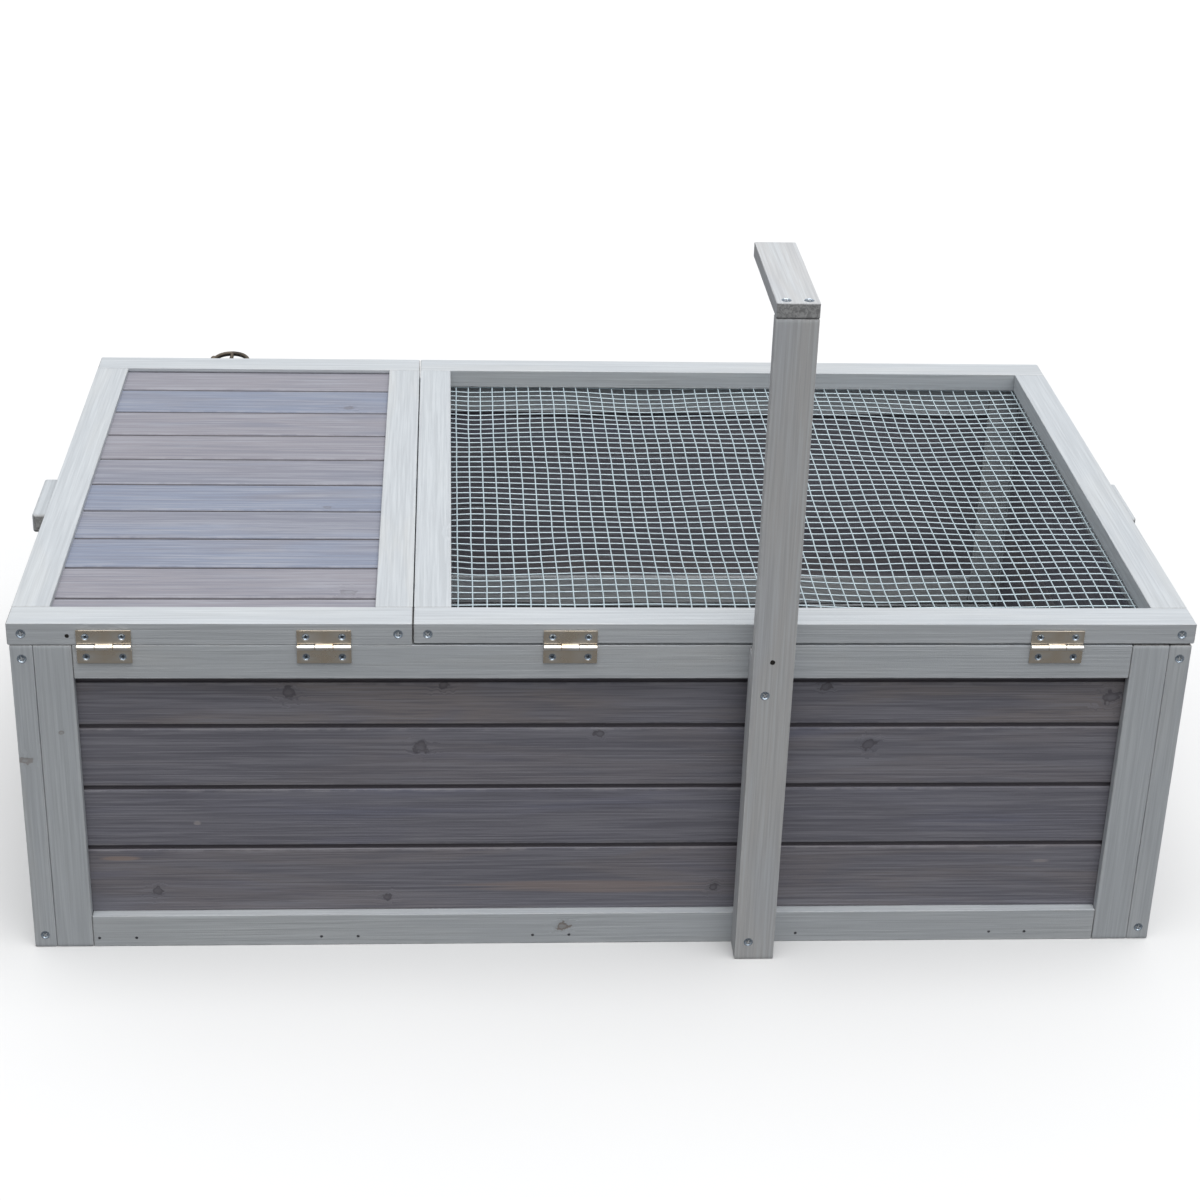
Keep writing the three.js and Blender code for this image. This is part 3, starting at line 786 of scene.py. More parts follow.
def board_ring(low, high, shown, hidden, groove, tongue, top=None, both=False):
    """Section of one board. Its shown face is cut back at a joint, with a groove below and a tongue above.
    top is how far the board's thinned edge runs up behind a rail, and both thins it from both faces."""
    into = 1 if hidden > shown else -1
    mid = (shown + hidden) / 2
    gap = JOINT_GAP / 2
    vee = shown + into * VEE_DEPTH
    corners = [(low, hidden), (low, shown)]
    if groove:
        half = into * (TONGUE_HALF + TONGUE_PLAY)
        floor = low + gap + TONGUE + TONGUE_PLAY - JOINT_GAP
        corners = [
            (low + BACK_GAP, hidden), (low + BACK_GAP, mid + half), (floor, mid + half), (floor, mid - half),
            (low + gap, mid - half), (low + gap, vee), (low + VEE_HALF, shown),
        ]
    if tongue:
        front, back = mid - into * TONGUE_HALF, mid + into * TONGUE_HALF
        corners += [(high - VEE_HALF, shown), (high - gap, vee), (high - gap, front)]
        if top is None:
            tip = high - gap + TONGUE
            corners += [(tip, front), (tip, back), (high - BACK_GAP, back), (high - BACK_GAP, hidden)]
        elif both:
            corners += [(top, front), (top, back), (high, back), (high, hidden)]
        else:
            corners += [(top, front), (top, hidden)]
    else:
        corners += [(high, shown), (high, hidden)]
    corners = [Vector(corner) for corner in corners[::into]]
    ring = []
    for index, here in enumerate(corners):
        before, after = corners[index - 1], corners[(index + 1) % len(corners)]
        start = here + (before - here).normalized() * BOARD_EASE
        end = here + (after - here).normalized() * BOARD_EASE
        # Points off both faces lie inside the joint and get painted shade with pooled stain; points on the
        # faces get edge wear.
        wear_and_painted_light = JOINT_SHADE_AND_STAIN if min(abs(here.y - shown), abs(here.y - hidden)) > 0 else BOARD_WEAR
        ring += [(start, wear_and_painted_light), (end, wear_and_painted_light)]
        span = (after - here).length
        if span > 3 * SHOULDER:
            ring += [(end.lerp(after, part), 0.0) for part in face_fractions(span)]
    return ring


def lay_boards(panel, edges, faces, axes, material, tones=None, top=None, both=False):
    """A panel's boards, each a piece. edges are the joint lines with the two outer edges, and faces are the
    shown face and the hidden one. The first piece stands for the panel's CAD node."""
    node = f"{panel}_boards"
    start, stop = (corner[axes[0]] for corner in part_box(node))
    places = [start, *spaced(start + BOARD_END, stop - BOARD_END, STATION_PITCH), stop]
    last = len(edges) - 2
    for index, (low, high) in enumerate(zip(edges, edges[1:])):
        crown = top if index == last else None
        tongue = index < last or crown is not None
        ring = board_ring(low, high, *faces, index > 0, tongue, crown, both)
        name = f"{panel}_board_{index + 1}"
        shape = Shape()
        lumber = Lumber(name, axes, tones[index] if tones else 0.0)
        lumber.loft(shape, [(place, ring) for place in places], BOARD_EASE)
        make_piece(name, shape, material, BODY_OF[node], *([] if index else [node]))


def wall_joints():
    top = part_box("hinge_wall_top_rail")[1].z
    return sorted(top - WALL_JOINT_DROP - BOARD_PITCH * index for index in range(WALL_JOINTS))


def panel_pocket(node):
    """The corners of the room that a panel takes out of its frame."""
    low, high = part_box(node)
    slack = Vector((PLAY, PLAY, PLAY))
    return [low - slack, high + slack]


def wall(name, along, outward, material, grooved=False):
    """A framed and boarded wall that runs on the axis along, with its face to the side outward.
    Its boards sit in a rebate, or in a groove in the middle of the frame."""
    through = 1 - along
    low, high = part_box(f"{name}_boards")
    faces = (low[through], high[through])
    if outward > 0:
        faces = faces[::-1]
    pocket = panel_pocket(f"{name}_boards")
    if not grooved:
        pocket[0 if outward > 0 else 1][through] = faces[1] - outward * MM
    timber(f"{name}_stile_a", 2, FRAME_WOOD, pocket)
    timber(f"{name}_stile_b", 2, FRAME_WOOD, pocket)
    rail_pocket = None if grooved else pocket
    timber(f"{name}_top_rail", along, FRAME_WOOD, rail_pocket)
    bottom_wood = SILL_WOOD if name == "hinge_wall" else FRAME_WOOD
    timber(f"{name}_bottom_rail", along, bottom_wood, rail_pocket)
    edges = [low.z, *wall_joints(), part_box(f"{name}_top_rail")[0].z - TOP_GAP]
    lay_boards(name, edges, faces, (along, 2, through), material, top=high.z, both=grooved)


def walls():
    wall("hinge_wall", 0, -1, HINGE_WALL_WOOD)
    wall("tray_wall", 0, 1, WALL_WOOD, grooved=True)
    wall("left_wall", 1, -1, WALL_WOOD)
    wall("right_wall", 1, 1, WALL_WOOD)


# --- Lids ---

FRAME_W = 30 * MM
# The sheet's wires, how deep the second row lies under the first, and how far the sheet is pressed up
WIRE_PITCH = 12 * MM
WIRE_R = 0.64 * MM
WIRE_SIDES = 6
WIRE_SINK = 0.46 * MM
WIRE_PRESS = 0.38 * MM
WIRE_STEPS = 2
# How far the sheet waves and kinks sideways, and how it hangs
WIRE_WAVE = 1.3 * MM
WIRE_KINK = 0.5 * MM
WIRE_LIFT = 4.5 * MM
WIRE_SAG = 0.6 * MM
WIRE_STEADY = 0.35
SWAY_FROM = 0.6 * FRAME_W
SWAY_OVER = 0.7 * FRAME_W
RIPPLE_PACE = 8
RIPPLE_SEEDS = (3.1, 8.7, 14.2)
KINK_PACE = 31
KINK_SEEDS = (1.9, 5.3)
STAPLE_HALF = 4.5 * MM
STAPLE_WIRE = 0.45 * MM
STAPLE_SIDES = 8
STAPLE_LEG = 6 * MM
STAPLE_PITCH = 84 * MM
STAPLE_INSET = 4.5 * MM
# A staple's route, as parts of its half width and of its leg
STAPLE_ROUTE = ((-1, 1), (-1, 0.15), (-0.88, 0), (-0.5, 0), (0.5, 0), (0.88, 0), (1, 0.15), (1, 1))


def lid_frame(name, pocket=None):
    for part, axis in (("hinge_rail", 0), ("far_rail", 0), ("left_rail", 1), ("right_rail", 1)):
        timber(f"{name}_{part}", axis, FRAME_WOOD, pocket)


def solid_lid():
    low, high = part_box("solid_lid_boards")
    lid_frame("solid_lid", panel_pocket("solid_lid_boards"))
    edges = [low.y, *(LID_JOINT_FIRST + BOARD_PITCH * index for index in range(LID_JOINTS)), high.y]
    lay_boards("solid_lid", edges, (high.z, low.z), (0, 1, 2), LID_WOOD, LID_TONES)


# Wires and staples are lighter towards the top of each round bar.
def wire_lighter_on_top(rise):
    return 0.5 + 0.5 * rise


def mesh_sway(x, y, low, high):
    """How far the welded sheet strays at a place: nothing over the frame, slow ripples inside it."""
    edge = min(x - low.x, high.x - x, y - low.y, high.y - y)
    loose = min(1.0, max(0.0, (edge - SWAY_FROM) / SWAY_OVER))
    ripple = [noise.noise(Vector((x * RIPPLE_PACE, y * RIPPLE_PACE, seed))) for seed in RIPPLE_SEEDS]
    kink = [noise.noise(Vector((x * KINK_PACE, y * KINK_PACE, seed))) for seed in KINK_SEEDS]
    steady = WIRE_STEADY + (1 - WIRE_STEADY) * loose
    sway = [(WIRE_WAVE * ripple[axis] + WIRE_KINK * kink[axis]) * steady for axis in (0, 1)]
    return Vector((*sway, loose * (WIRE_LIFT * ripple[2] - WIRE_SAG)))


def mesh_wires():
    low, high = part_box("mesh_lid_wires")
    top = high.z + WIRE_PRESS - WIRE_R
    step_length = WIRE_PITCH / WIRE_STEPS
    counts = [round((high[axis] - low[axis]) / WIRE_PITCH) for axis in (0, 1)]
    shape = Shape()
    for across, along, level in ((0, 1, top), (1, 0, top - WIRE_SINK)):
        for row in range(counts[across] + 1):
            route = []
            for step in range(counts[along] * WIRE_STEPS + 1):
                place = [0.0, 0.0, level]
                place[across] = low[across] + WIRE_R + row * WIRE_PITCH
                place[along] = low[along] + step * step_length
                route.append(Vector(place) + mesh_sway(place[0], place[1], low, high))
            rod(shape, route, [WIRE_R] * len(route), WIRE_SIDES, wire_lighter_on_top)
    make_piece("mesh_lid_wires_sheet", shape, GALVANISED, "mesh_lid", "mesh_lid_wires")


def staple(name, crown, along):
    """A bent staple, its crown along an axis, that holds the sheet up against the frame."""
    route = []
    for part, leg in STAPLE_ROUTE:
        spot = Vector(crown) + Vector((0, 0, STAPLE_LEG * leg))
        spot[along] += STAPLE_HALF * part
        route.append(spot)
    shape = Shape()
    rod(shape, route, [STAPLE_WIRE] * len(route), STAPLE_SIDES, wire_lighter_on_top)
    make_piece(name, shape, ZINC, "mesh_lid")


def staples():
    hinge_rail, far_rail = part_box("mesh_lid_hinge_rail"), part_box("mesh_lid_far_rail")
    left_rail, right_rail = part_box("mesh_lid_left_rail"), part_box("mesh_lid_right_rail")
    opening = ((left_rail[1].x, right_rail[0].x), (hinge_rail[1].y, far_rail[0].y))
    level = hinge_rail[0].z + WIRE_PRESS - 2 * WIRE_R - STAPLE_WIRE
    for along, sides in ((0, ("hinge_side", "far_side")), (1, ("left", "right"))):
        across = 1 - along
        rows = spaced(opening[along][0] + FRAME_W, opening[along][1] - FRAME_W, STAPLE_PITCH)
        for index, where in enumerate(rows):
            for side, edge, nudge in zip(sides, opening[across], (-STAPLE_INSET, STAPLE_INSET)):
                crown = [0.0, 0.0, level]
                crown[along] = where
                crown[across] = edge + nudge
                staple(f"staple_{side}_{index + 1}", crown, along)


def mesh_lid():
    lid_frame("mesh_lid")
    mesh_wires()
    staples()


# --- Screws and nails ---

HINGE_SCREW_R = 3.0 * MM
WOOD_SCREW_R = 4.0 * MM
SCREW_TILT = 0.03
# A screw's cross recess, and rings outwards from its floor, in parts of the head's radius: reach, height
SCREW_ARM = 0.62
SCREW_ARM_HALF = 0.15
RECESS_RINGS = ((0.55, -0.34), (0.9, -0.05), (1.0, 0.08))
HEAD_RINGS = ((0.78, 0.06), (0.94, 0.03), (1.0, -0.04), (0.97, -0.12), (0.55, -0.55))
NAIL_R = 1.4 * MM
NAIL_SIDES = 16
NAIL_WEAR = 0.5
NAIL_RAGGED = 0.06
# Rings outwards over a nail's head, in parts of its radius: height, reach
NAIL_RINGS = ((0.10, 0.35), (0.07, 0.8), (-0.05, 1.0), (-0.3, 0.95), (-0.5, 0.4))
# Where they stand, measured from the ends of what they hold. A corner strip is a stile of an end wall, seen
# from one of the long sides
CORNER_STRIPS = (
    ("left", "near", "b", -1), ("left", "far", "a", 1), ("right", "near", "a", -1), ("right", "far", "b", 1),
)
STRIP_SCREW_DROP = 12 * MM
LID_SCREW_IN = 11.2 * MM
LID_SCREW_DROP = 9.2 * MM
BEARERS = range(1, 6)
NAIL_LEVEL = 8.5 * MM
NAIL_SPREAD = 15.4 * MM


def cross_outline(arm, half):
    """A cross recess: four arms, with a middle point added on every edge."""
    corners = []
    for quarter in range(4):
        turn = math.pi / 2 * quarter
        for x, y in ((arm, -half), (arm, half), (half, half)):
            turned_x = x * math.cos(turn) - y * math.sin(turn)
            corners.append(Vector((turned_x, x * math.sin(turn) + y * math.cos(turn))))
    outline = []
    for index, corner in enumerate(corners):
        outline += [corner, corner.lerp(corners[(index + 1) % len(corners)], 0.5)]
    return outline


def screw(name, centre, toward, radius, body):
    """A countersunk cross-head screw, turned and tilted as it was left."""
    dice = random.Random(name)
    side, rise, out = facing_frame(toward)
    spin = dice.uniform(0, math.pi / 2)
    lean_x = dice.uniform(-SCREW_TILT, SCREW_TILT)
    lean_y = dice.uniform(-SCREW_TILT, SCREW_TILT)
    cross = cross_outline(SCREW_ARM * radius, SCREW_ARM_HALF * radius)
    outlines = [([point * part for point in cross], height) for part, height in RECESS_RINGS]
    for part, height in HEAD_RINGS:
        outlines.append(([point.normalized() * part * radius for point in cross], height))
    shape = Shape()
    rings = []
    for outline, height in outlines:
        ring = []
        for point in outline:
            x = point.x * math.cos(spin) - point.y * math.sin(spin)
            y = point.x * math.sin(spin) + point.y * math.cos(spin)
            lift = height * radius + x * lean_x + y * lean_y
            spot = Vector(centre) + side * x + rise * y + out * lift
            wear_and_painted_light = 1.0 if height > 0 else 0.2
            ring.append(shape.point(spot, (x / radius, y / radius, 0.0), (wear_and_painted_light, 0.0, 0.0)))
        rings.append(ring)
    shape.skin(rings)
    make_piece(name, shape, SCREW_ZINC, body)


def nail(name, centre, toward):
    """A flat nail head, punched just level with the timber."""
    profile = [(height * NAIL_R, reach * NAIL_R, NAIL_WEAR) for height, reach in NAIL_RINGS]
    shape = Shape()
    shape.skin(turned(shape, centre, toward, profile, NAIL_SIDES, (NAIL_RAGGED, 1.0, centre[0] * 50)))
    make_piece(name, shape, NAIL_STEEL, "box")


def fixings():
    for side, face, end, look in CORNER_STRIPS:
        low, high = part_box(f"{side}_wall_stile_{end}")
        x, y = (low.x + high.x) / 2, (low.y if look < 0 else high.y)
        for level, z in (("low", low.z + STRIP_SCREW_DROP), ("high", high.z - STRIP_SCREW_DROP)):
            screw(f"{side}_{face}_{level}_screw", (x, y, z), (0, look, 0), WOOD_SCREW_R, "box")
    for lid in ("solid_lid", "mesh_lid"):
        for rail, look in (("hinge_rail", -1), ("far_rail", 1)):
            low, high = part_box(f"{lid}_{rail}")
            y = low.y if look < 0 else high.y
            for end, x in (("left", low.x + LID_SCREW_IN), ("right", high.x - LID_SCREW_IN)):
                spot = (x, y, high.z - LID_SCREW_DROP)
                screw(f"{lid}_{rail}_{end}_screw", spot, (0, look, 0), WOOD_SCREW_R, lid)
    near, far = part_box("hinge_wall_bottom_rail")[0].y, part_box("tray_sill")[1].y
    for index in BEARERS:
        low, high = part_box(f"bearer_{index}")
        for label, nudge in (("a", -NAIL_SPREAD), ("b", NAIL_SPREAD)):
            x = (low.x + high.x) / 2 + nudge
            nail(f"bearer_{index}_hinge_side_nail_{label}", (x, near, NAIL_LEVEL), (0, -1, 0))
            nail(f"bearer_{index}_tray_side_nail_{label}", (x, far, NAIL_LEVEL), (0, 1, 0))


# --- Hinges ---

PLATE_T = 1.2 * MM
PLATE_GAP = 0.4 * MM
LEAF_EASE = 0.22 * MM
LEAF_ROUND = 0.3 * LEAF_EASE
LEAF_SCREW_X = 14.3 * MM
LEAF_SCREW_Z = 8.9 * MM
LEAF_SCREW_SUNK = 0.12 * MM
SINK_R = 3.05 * MM
SINK_THROAT = 0.62
SINK_CONE = 0.75 * PLATE_T
SINK_LIP = 0.04 * MM
SINK_RIM = 0.12 * MM
SINK_WEAR = 0.6
RIM_STEPS = 7
KNUCKLES = 3
KNUCKLE_GAP = 0.15 * MM
KNUCKLE_EASE = 0.25 * MM
# A knuckle's eased edge, in parts of its ease: how far in from the end, and how far down
KNUCKLE_EDGE = ((0.0, 1.0), (0.3, 0.3), (1.0, 0.0))
BARREL_SIDES = 28
BORE_PLAY = 0.08 * MM
TAB_IN = 0.01 * MM
TAB_END = 0.1 * MM
TAB_LAP = 0.6 * MM
TAB_START = 1.3
PIN_SIDES = 20
# A pin's rounded end: how far in, and the part of its radius there
PIN_END = ((0.0, 0.5), (0.1 * MM, 0.85), (0.3 * MM, 1.0))


def half_plate(shape, low, high, hole, outer_x, near, far):
    """Half of a leaf's plate, with one countersunk hole. Its side away from outer_x meets the other half."""
    rim = []
    corners = rectangle(low, high)
    for index, corner in enumerate(corners):
        rim += [corner.lerp(corners[(index + 1) % 4], step / RIM_STEPS) for step in range(RIM_STEPS)]
    seam_x = high.x if outer_x == low.x else low.x
    on_seam = [abs(point.x - seam_x) < STEP_GAP for point in rim]

    def put(point, depth, wear_and_painted_light):
        return shape.worn(Vector((point.x, depth, point.y)), wear_and_painted_light)

    def pulled(point, distance):
        x = max(point.x, low.x + distance) if outer_x == low.x else min(point.x, high.x - distance)
        return Vector((x, min(max(point.y, low.y + distance), high.y - distance)))

    sink = (
        (SINK_R * SINK_THROAT, far, 0.0), (SINK_R * SINK_THROAT, near + SINK_CONE, 0.0),
        (SINK_R, near + SINK_LIP, SINK_WEAR), (SINK_R + SINK_RIM, near, SINK_WEAR),
    )
    edge = (
        (LEAF_EASE, near, 0.1), (LEAF_ROUND, near + LEAF_ROUND, 0.3),
        (0.0, near + LEAF_EASE, 0.1), (0.0, far, 0.0),
    )
    away = [(point - hole).normalized() for point in rim]
    rows = [[put(hole + turn * reach, depth, wear_and_painted_light) for turn in away] for reach, depth, wear_and_painted_light in sink]
    rows += [[put(pulled(point, inward), depth, wear_and_painted_light) for point in rim] for inward, depth, wear_and_painted_light in edge]
    for level, (row, following) in enumerate(zip(rows, rows[1:] + rows[:1])):
        for index, here in enumerate(row):
            after = (index + 1) % len(row)
            if len(sink) <= level < len(rows) - 1 and on_seam[index] and on_seam[after]:
                continue
            shape.face([here, row[after], following[after], following[index]])


def barrel(shape, start, end, axis, radius, bore):
    """One knuckle: a rolled tube with eased ends."""
    edge = [(step * KNUCKLE_EASE, radius - drop * KNUCKLE_EASE) for step, drop in KNUCKLE_EDGE]
    profile = [(start, bore), *((start + step, reach) for step, reach in edge)]
    profile += [*((end - step, reach) for step, reach in reversed(edge)), (end, bore)]
    profile = [(x, reach, 0.8 if reach < radius else 1.0) for x, reach in profile]
    rings = turned(shape, (0, axis.y, axis.z), (1, 0, 0), profile, BARREL_SIDES)
    shape.skin(rings + rings[:1], capped=False)


def leaf(hinge, part, side, own):
    """A hinge leaf with its own knuckles. side is 1 for the lid's leaf and -1 for the wall's."""
    name = f"{hinge}_{part}_leaf"
    low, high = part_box(name)
    pin_low, pin_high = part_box(f"{hinge}_pin")
    axis = (pin_low + pin_high) / 2
    radius = axis.y - low.y
    bore = (pin_high.y - pin_low.y) / 2 + BORE_PLAY
    far = high.y
    near = far - PLATE_T
    inner = axis.z + side * (radius + PLATE_GAP)
    bottom, top = sorted((inner, high.z if side > 0 else low.z))
    left, right = pin_low.x, pin_high.x
    hole_z = axis.z + side * LEAF_SCREW_Z
    holes = [Vector((axis.x - LEAF_SCREW_X, hole_z)), Vector((axis.x + LEAF_SCREW_X, hole_z))]
    shape = Shape()
    half_plate(shape, Vector((left, bottom)), Vector((axis.x, top)), holes[0], left, near, far)
    half_plate(shape, Vector((axis.x, bottom)), Vector((right, top)), holes[1], right, near, far)
    knuckle = (right - left) / KNUCKLES
    for index in own:
        start = left + index * knuckle + KNUCKLE_GAP
        end = left + (index + 1) * knuckle - KNUCKLE_GAP
        barrel(shape, start, end, axis, radius, bore)
        tab_low, tab_high = sorted((axis.z + side * bore * TAB_START, inner + side * TAB_LAP))
        tab = rectangle(Vector((near + TAB_IN, tab_low)), Vector((far - TAB_IN, tab_high)))
        ends = (start + TAB_END, end - TAB_END)
        shape.skin([[shape.worn((x, corner.x, corner.y), 0.2) for corner in tab] for x in ends])
    body = BODY_OF[name]
    make_piece(f"{name}_plate", shape, NICKEL, body, name)
    for label, hole in zip(("left", "right"), holes):
        spot = (hole.x, near + LEAF_SCREW_SUNK, hole.y)
        screw(f"{name}_{label}_screw", spot, (0, -1, 0), HINGE_SCREW_R, body)


def pin(name):
    low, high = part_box(name)
    axis = (low + high) / 2
    radius = (high.z - low.z) / 2
    profile = [(low.x + step, reach * radius, 1.0 - reach) for step, reach in PIN_END]
    profile += [(high.x - step, reach * radius, 1.0 - reach) for step, reach in reversed(PIN_END)]
    shape = Shape()
    shape.skin(turned(shape, (0, axis.y, axis.z), (1, 0, 0), profile, PIN_SIDES))
    make_piece(f"{name}_rod", shape, NICKEL, BODY_OF[name], name)


def hinges():
    for hinge in ("hinge_solid_a", "hinge_solid_b", "hinge_mesh_a", "hinge_mesh_b"):
        leaf(hinge, "wall", -1, (0, 2))
        leaf(hinge, "lid", 1, (1,))
        pin(f"{hinge}_pin")


# --- Post, handles and pull ---

POST_SCREW_LEVELS = (17.3 * MM, 253 * MM)
POST_SCREW_ASIDE = 5.4 * MM
POST_HOLE_LEVEL = 283 * MM
POST_HOLE_ASIDE = 1.2 * MM
POST_HOLE_R = 1.7 * MM
ARM_SCREW_ASIDE = 8.6 * MM
ARM_SCREW_IN = 7 * MM
LID_HOLE_IN = 47 * MM
LID_HOLE_RISE = 8 * MM
LID_HOLE_R = 1.4 * MM
PILOT_DEPTH = 0.3 * MM
PILOT_SIDES = 14
PILOT_RAGGED = 0.14
# Rings inwards over a pilot hole's ragged rim, in parts of its depth and of its radius
PILOT_RINGS = ((0.06, 1.25), (0.1, 1.1), (0.0, 1.0), (-0.6, 0.9), (-0.9, 0.75))
HANDLE_EASE = 2.6 * MM
# The bow pull: a bar bent in a half round on three feet, with a stem in the middle and a knob at one end
PULL_BAR_R = 2.3 * MM
PULL_THIN = 0.86
PULL_SWELL = 0.16
PULL_STEPS = 28
PULL_SIDES = 18
PULL_ROOT = 1.2 * MM
PULL_ROOM = 0.2 * MM
STEM_SIDES = 16
STEM_ROOT = 1 * MM
STEM_RADII = (2.0 * MM, 1.8 * MM)
FOOT_R = 3.8 * MM
FOOT_SIDES = 28
# In mm, how far from the lid, and the radius there
FOOT_PROFILE = ((0.0, 3.6), (0.5, 3.8), (1.2, 3.5), (1.8, 2.8), (2.4, 2.2))
KNOB_R = 3.2 * MM
KNOB_RISE = 1.7 * MM
KNOB_SIDES = 24
KNOB_TURNS = (-1.3, -0.9, -0.45, 0, 0.45, 0.9, 1.3)
BRONZE_WEAR = 0.7


def pilot_hole(name, centre, toward, radius, body):
    """An empty drilled hole, as a shallow lining set into the timber, coloured with painted shade for the
    dark inside of a deep hole.
    """
    profile = [(depth * PILOT_DEPTH, reach * radius, 0.0) for depth, reach in PILOT_RINGS]
    shape = Shape()
    shape.skin(turned(shape, centre, toward, profile, PILOT_SIDES, (PILOT_RAGGED, 2.0, centre[0] * 90)))
    make_piece(name, shape, PAINTED_HOLE_SHADE, body)


def lamp_post():
    timber("lamp_post", 2, POST_WOOD)
    timber("lamp_post_spacer", 2, POST_WOOD)
    timber("lamp_arm", 1, POST_WOOD)
    low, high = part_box("lamp_post")
    middle = (low.x + high.x) / 2
    for label, z in zip(("low", "high"), POST_SCREW_LEVELS):
        spot = (middle - POST_SCREW_ASIDE, low.y, z)
        screw(f"lamp_post_{label}_screw", spot, (0, -1, 0), WOOD_SCREW_R, "box")
    spot = (middle - POST_HOLE_ASIDE, low.y, POST_HOLE_LEVEL)
    pilot_hole("lamp_post_pilot_hole", spot, (0, -1, 0), POST_HOLE_R, "box")
    arm_low, arm_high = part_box("lamp_arm")
    for label, nudge in (("left", -ARM_SCREW_ASIDE), ("right", ARM_SCREW_ASIDE)):
        spot = (middle + nudge, arm_low.y + ARM_SCREW_IN, arm_high.z)
        screw(f"lamp_arm_{label}_screw", spot, (0, 0, 1), WOOD_SCREW_R, "box")


def lid_pilot_hole():
    low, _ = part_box("solid_lid_hinge_rail")
    spot = (low.x + LID_HOLE_IN, low.y, low.z + LID_HOLE_RISE)
    pilot_hole("solid_lid_pilot_hole", spot, (0, -1, 0), LID_HOLE_R, "solid_lid")


def handles():
    timber("left_handle", 1, FRAME_WOOD, ease=HANDLE_EASE)
    timber("right_handle", 1, FRAME_WOOD, ease=HANDLE_EASE)


# The pull's bar is lighter along its top: rubbing, and a painted highlight.
def bar_rub_and_top_highlight(rise):
    return 0.6 * max(0.0, rise)


def lid_pull():
    low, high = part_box("solid_lid_pull")
    root = low.y
    level = low.z + FOOT_R
    half = (high.x - low.x) / 2 - FOOT_R
    middle = (low.x + high.x) / 2
    bulge = high.y - root - PULL_BAR_R - PULL_ROOM
    shape = Shape()
    route, radii = [], []
    for step in range(PULL_STEPS + 1):
        turn = math.pi * step / PULL_STEPS
        bow = math.sin(turn)
        y = root + PULL_ROOT + (bulge - PULL_ROOT) * bow
        route.append(Vector((middle - half * math.cos(turn), y, level)))
        radii.append(PULL_BAR_R * (PULL_THIN + PULL_SWELL * bow))
    rod(shape, route, radii, PULL_SIDES, bar_rub_and_top_highlight)
    stem = [Vector((middle, root + reach, level)) for reach in (STEM_ROOT, bulge)]
    rod(shape, stem, STEM_RADII, STEM_SIDES, bar_rub_and_top_highlight)
    foot = [(along * MM, radius * MM, BRONZE_WEAR) for along, radius in FOOT_PROFILE]
    for x in (middle - half, middle, middle + half):
        shape.skin(turned(shape, (x, root, level), (0, 1, 0), foot, FOOT_SIDES))
    knob = [(KNOB_R * math.sin(turn), KNOB_R * math.cos(turn), BRONZE_WEAR) for turn in KNOB_TURNS]
    base = (middle - half, root + KNOB_R, level + KNOB_RISE)
    shape.skin(turned(shape, base, (0, 0, 1), knob, KNOB_SIDES))
    make_piece("solid_lid_bow_pull", shape, BRONZE, "solid_lid", "solid_lid_pull")


# --- Partition, floor and tray ---

DOOR_HALF = 85 * MM
DOOR_SPRING = 120 * MM
DOOR_PITCH = 4 * MM
PARTITION_GAP = 0.5 * MM
PARTITION_EASE = 1.2 * MM
GRIP_HALF = 55 * MM
GRIP_DROP = 6 * MM
GRIP_STEPS = 16
# An eased edge's rings: how far in from the outline and from the face, in parts of the ease, and the wear
CUT_EDGE = ((1.0, 0.0, 0.3), (0.29, 0.29, 1.0), (0.0, 1.0, 0.4))
PAN_CORNER = 14 * MM
PAN_CORNER_LEAST = 1.0 * MM
PAN_CORNER_STEPS = 6
PAN_FLOOR = 2.0 * MM
# The pan's rings from its underside up over the lip and down inside, in mm: how far in, how far above the
# bottom or below the top, and the wear
PAN_UNDER = ((9, 0.0, 0.0), (6.4, 0.5, 0.1), (5.2, 1.8, 0.3))
PAN_LIP = (
    (3.4, -3.4, 0.0), (0.5, -3.2, 0.4), (0.0, -2.8, 0.9), (0.0, -0.9, 0.4), (0.3, -0.3, 1.0),
    (0.9, 0.0, 0.7), (3.6, 0.0, 0.5), (4.4, -0.3, 1.0), (4.8, -1.0, 0.4),
)
PAN_INSIDE = ((6.6, 4.5, 0.0), (7.6, 2.7, 0.1), (10.5, 2.0, 0.0))
# The pan's ribs: where the first lies, their pitch, their section in mm, and how they grow at the ends
RIB_FIRST = 50 * MM
RIB_PITCH = 90 * MM
RIB_SECTION = (
    (-5.0, 0.0), (-3.4, 0.5), (-2.2, 0.9), (0.0, 1.05), (2.2, 0.9), (3.4, 0.5), (5.0, 0.0), (0.0, -0.4),
)
RIB_CROWN = 0.8
RIB_END = ((40 * MM, 0.1), (43 * MM, 0.8), (47 * MM, 1.0))


def cut_board(name, outline, thickness, axes, material, body, ease, *nodes):
    """A board cut to an outline of (along, across) points, with both faces eased."""
    near, far = thickness
    lumber = Lumber(name, axes)
    shape = Shape()
    outline = [(point, 0.0) for point in outline]
    profile = [(inward, near + deep * ease, wear_and_painted_light) for inward, deep, wear_and_painted_light in CUT_EDGE]
    profile += [(inward, far - deep * ease, wear_and_painted_light) for inward, deep, wear_and_painted_light in reversed(CUT_EDGE)]
    rings = []
    for inward, depth, wear_and_painted_light in profile:
        ring = inset(outline, inward * ease)
        rings.append([lumber.put(shape, (point.x, point.y, depth), wear_and_painted_light) for point, _ in ring])
    shape.skin(rings)
    make_piece(name, shape, material, body, *nodes)


def door_edge(level):
    """Half the doorway's width at a height."""
    rise = max(0.0, level - DOOR_SPRING)
    return math.sqrt(max(0.0, DOOR_HALF * DOOR_HALF - rise * rise))


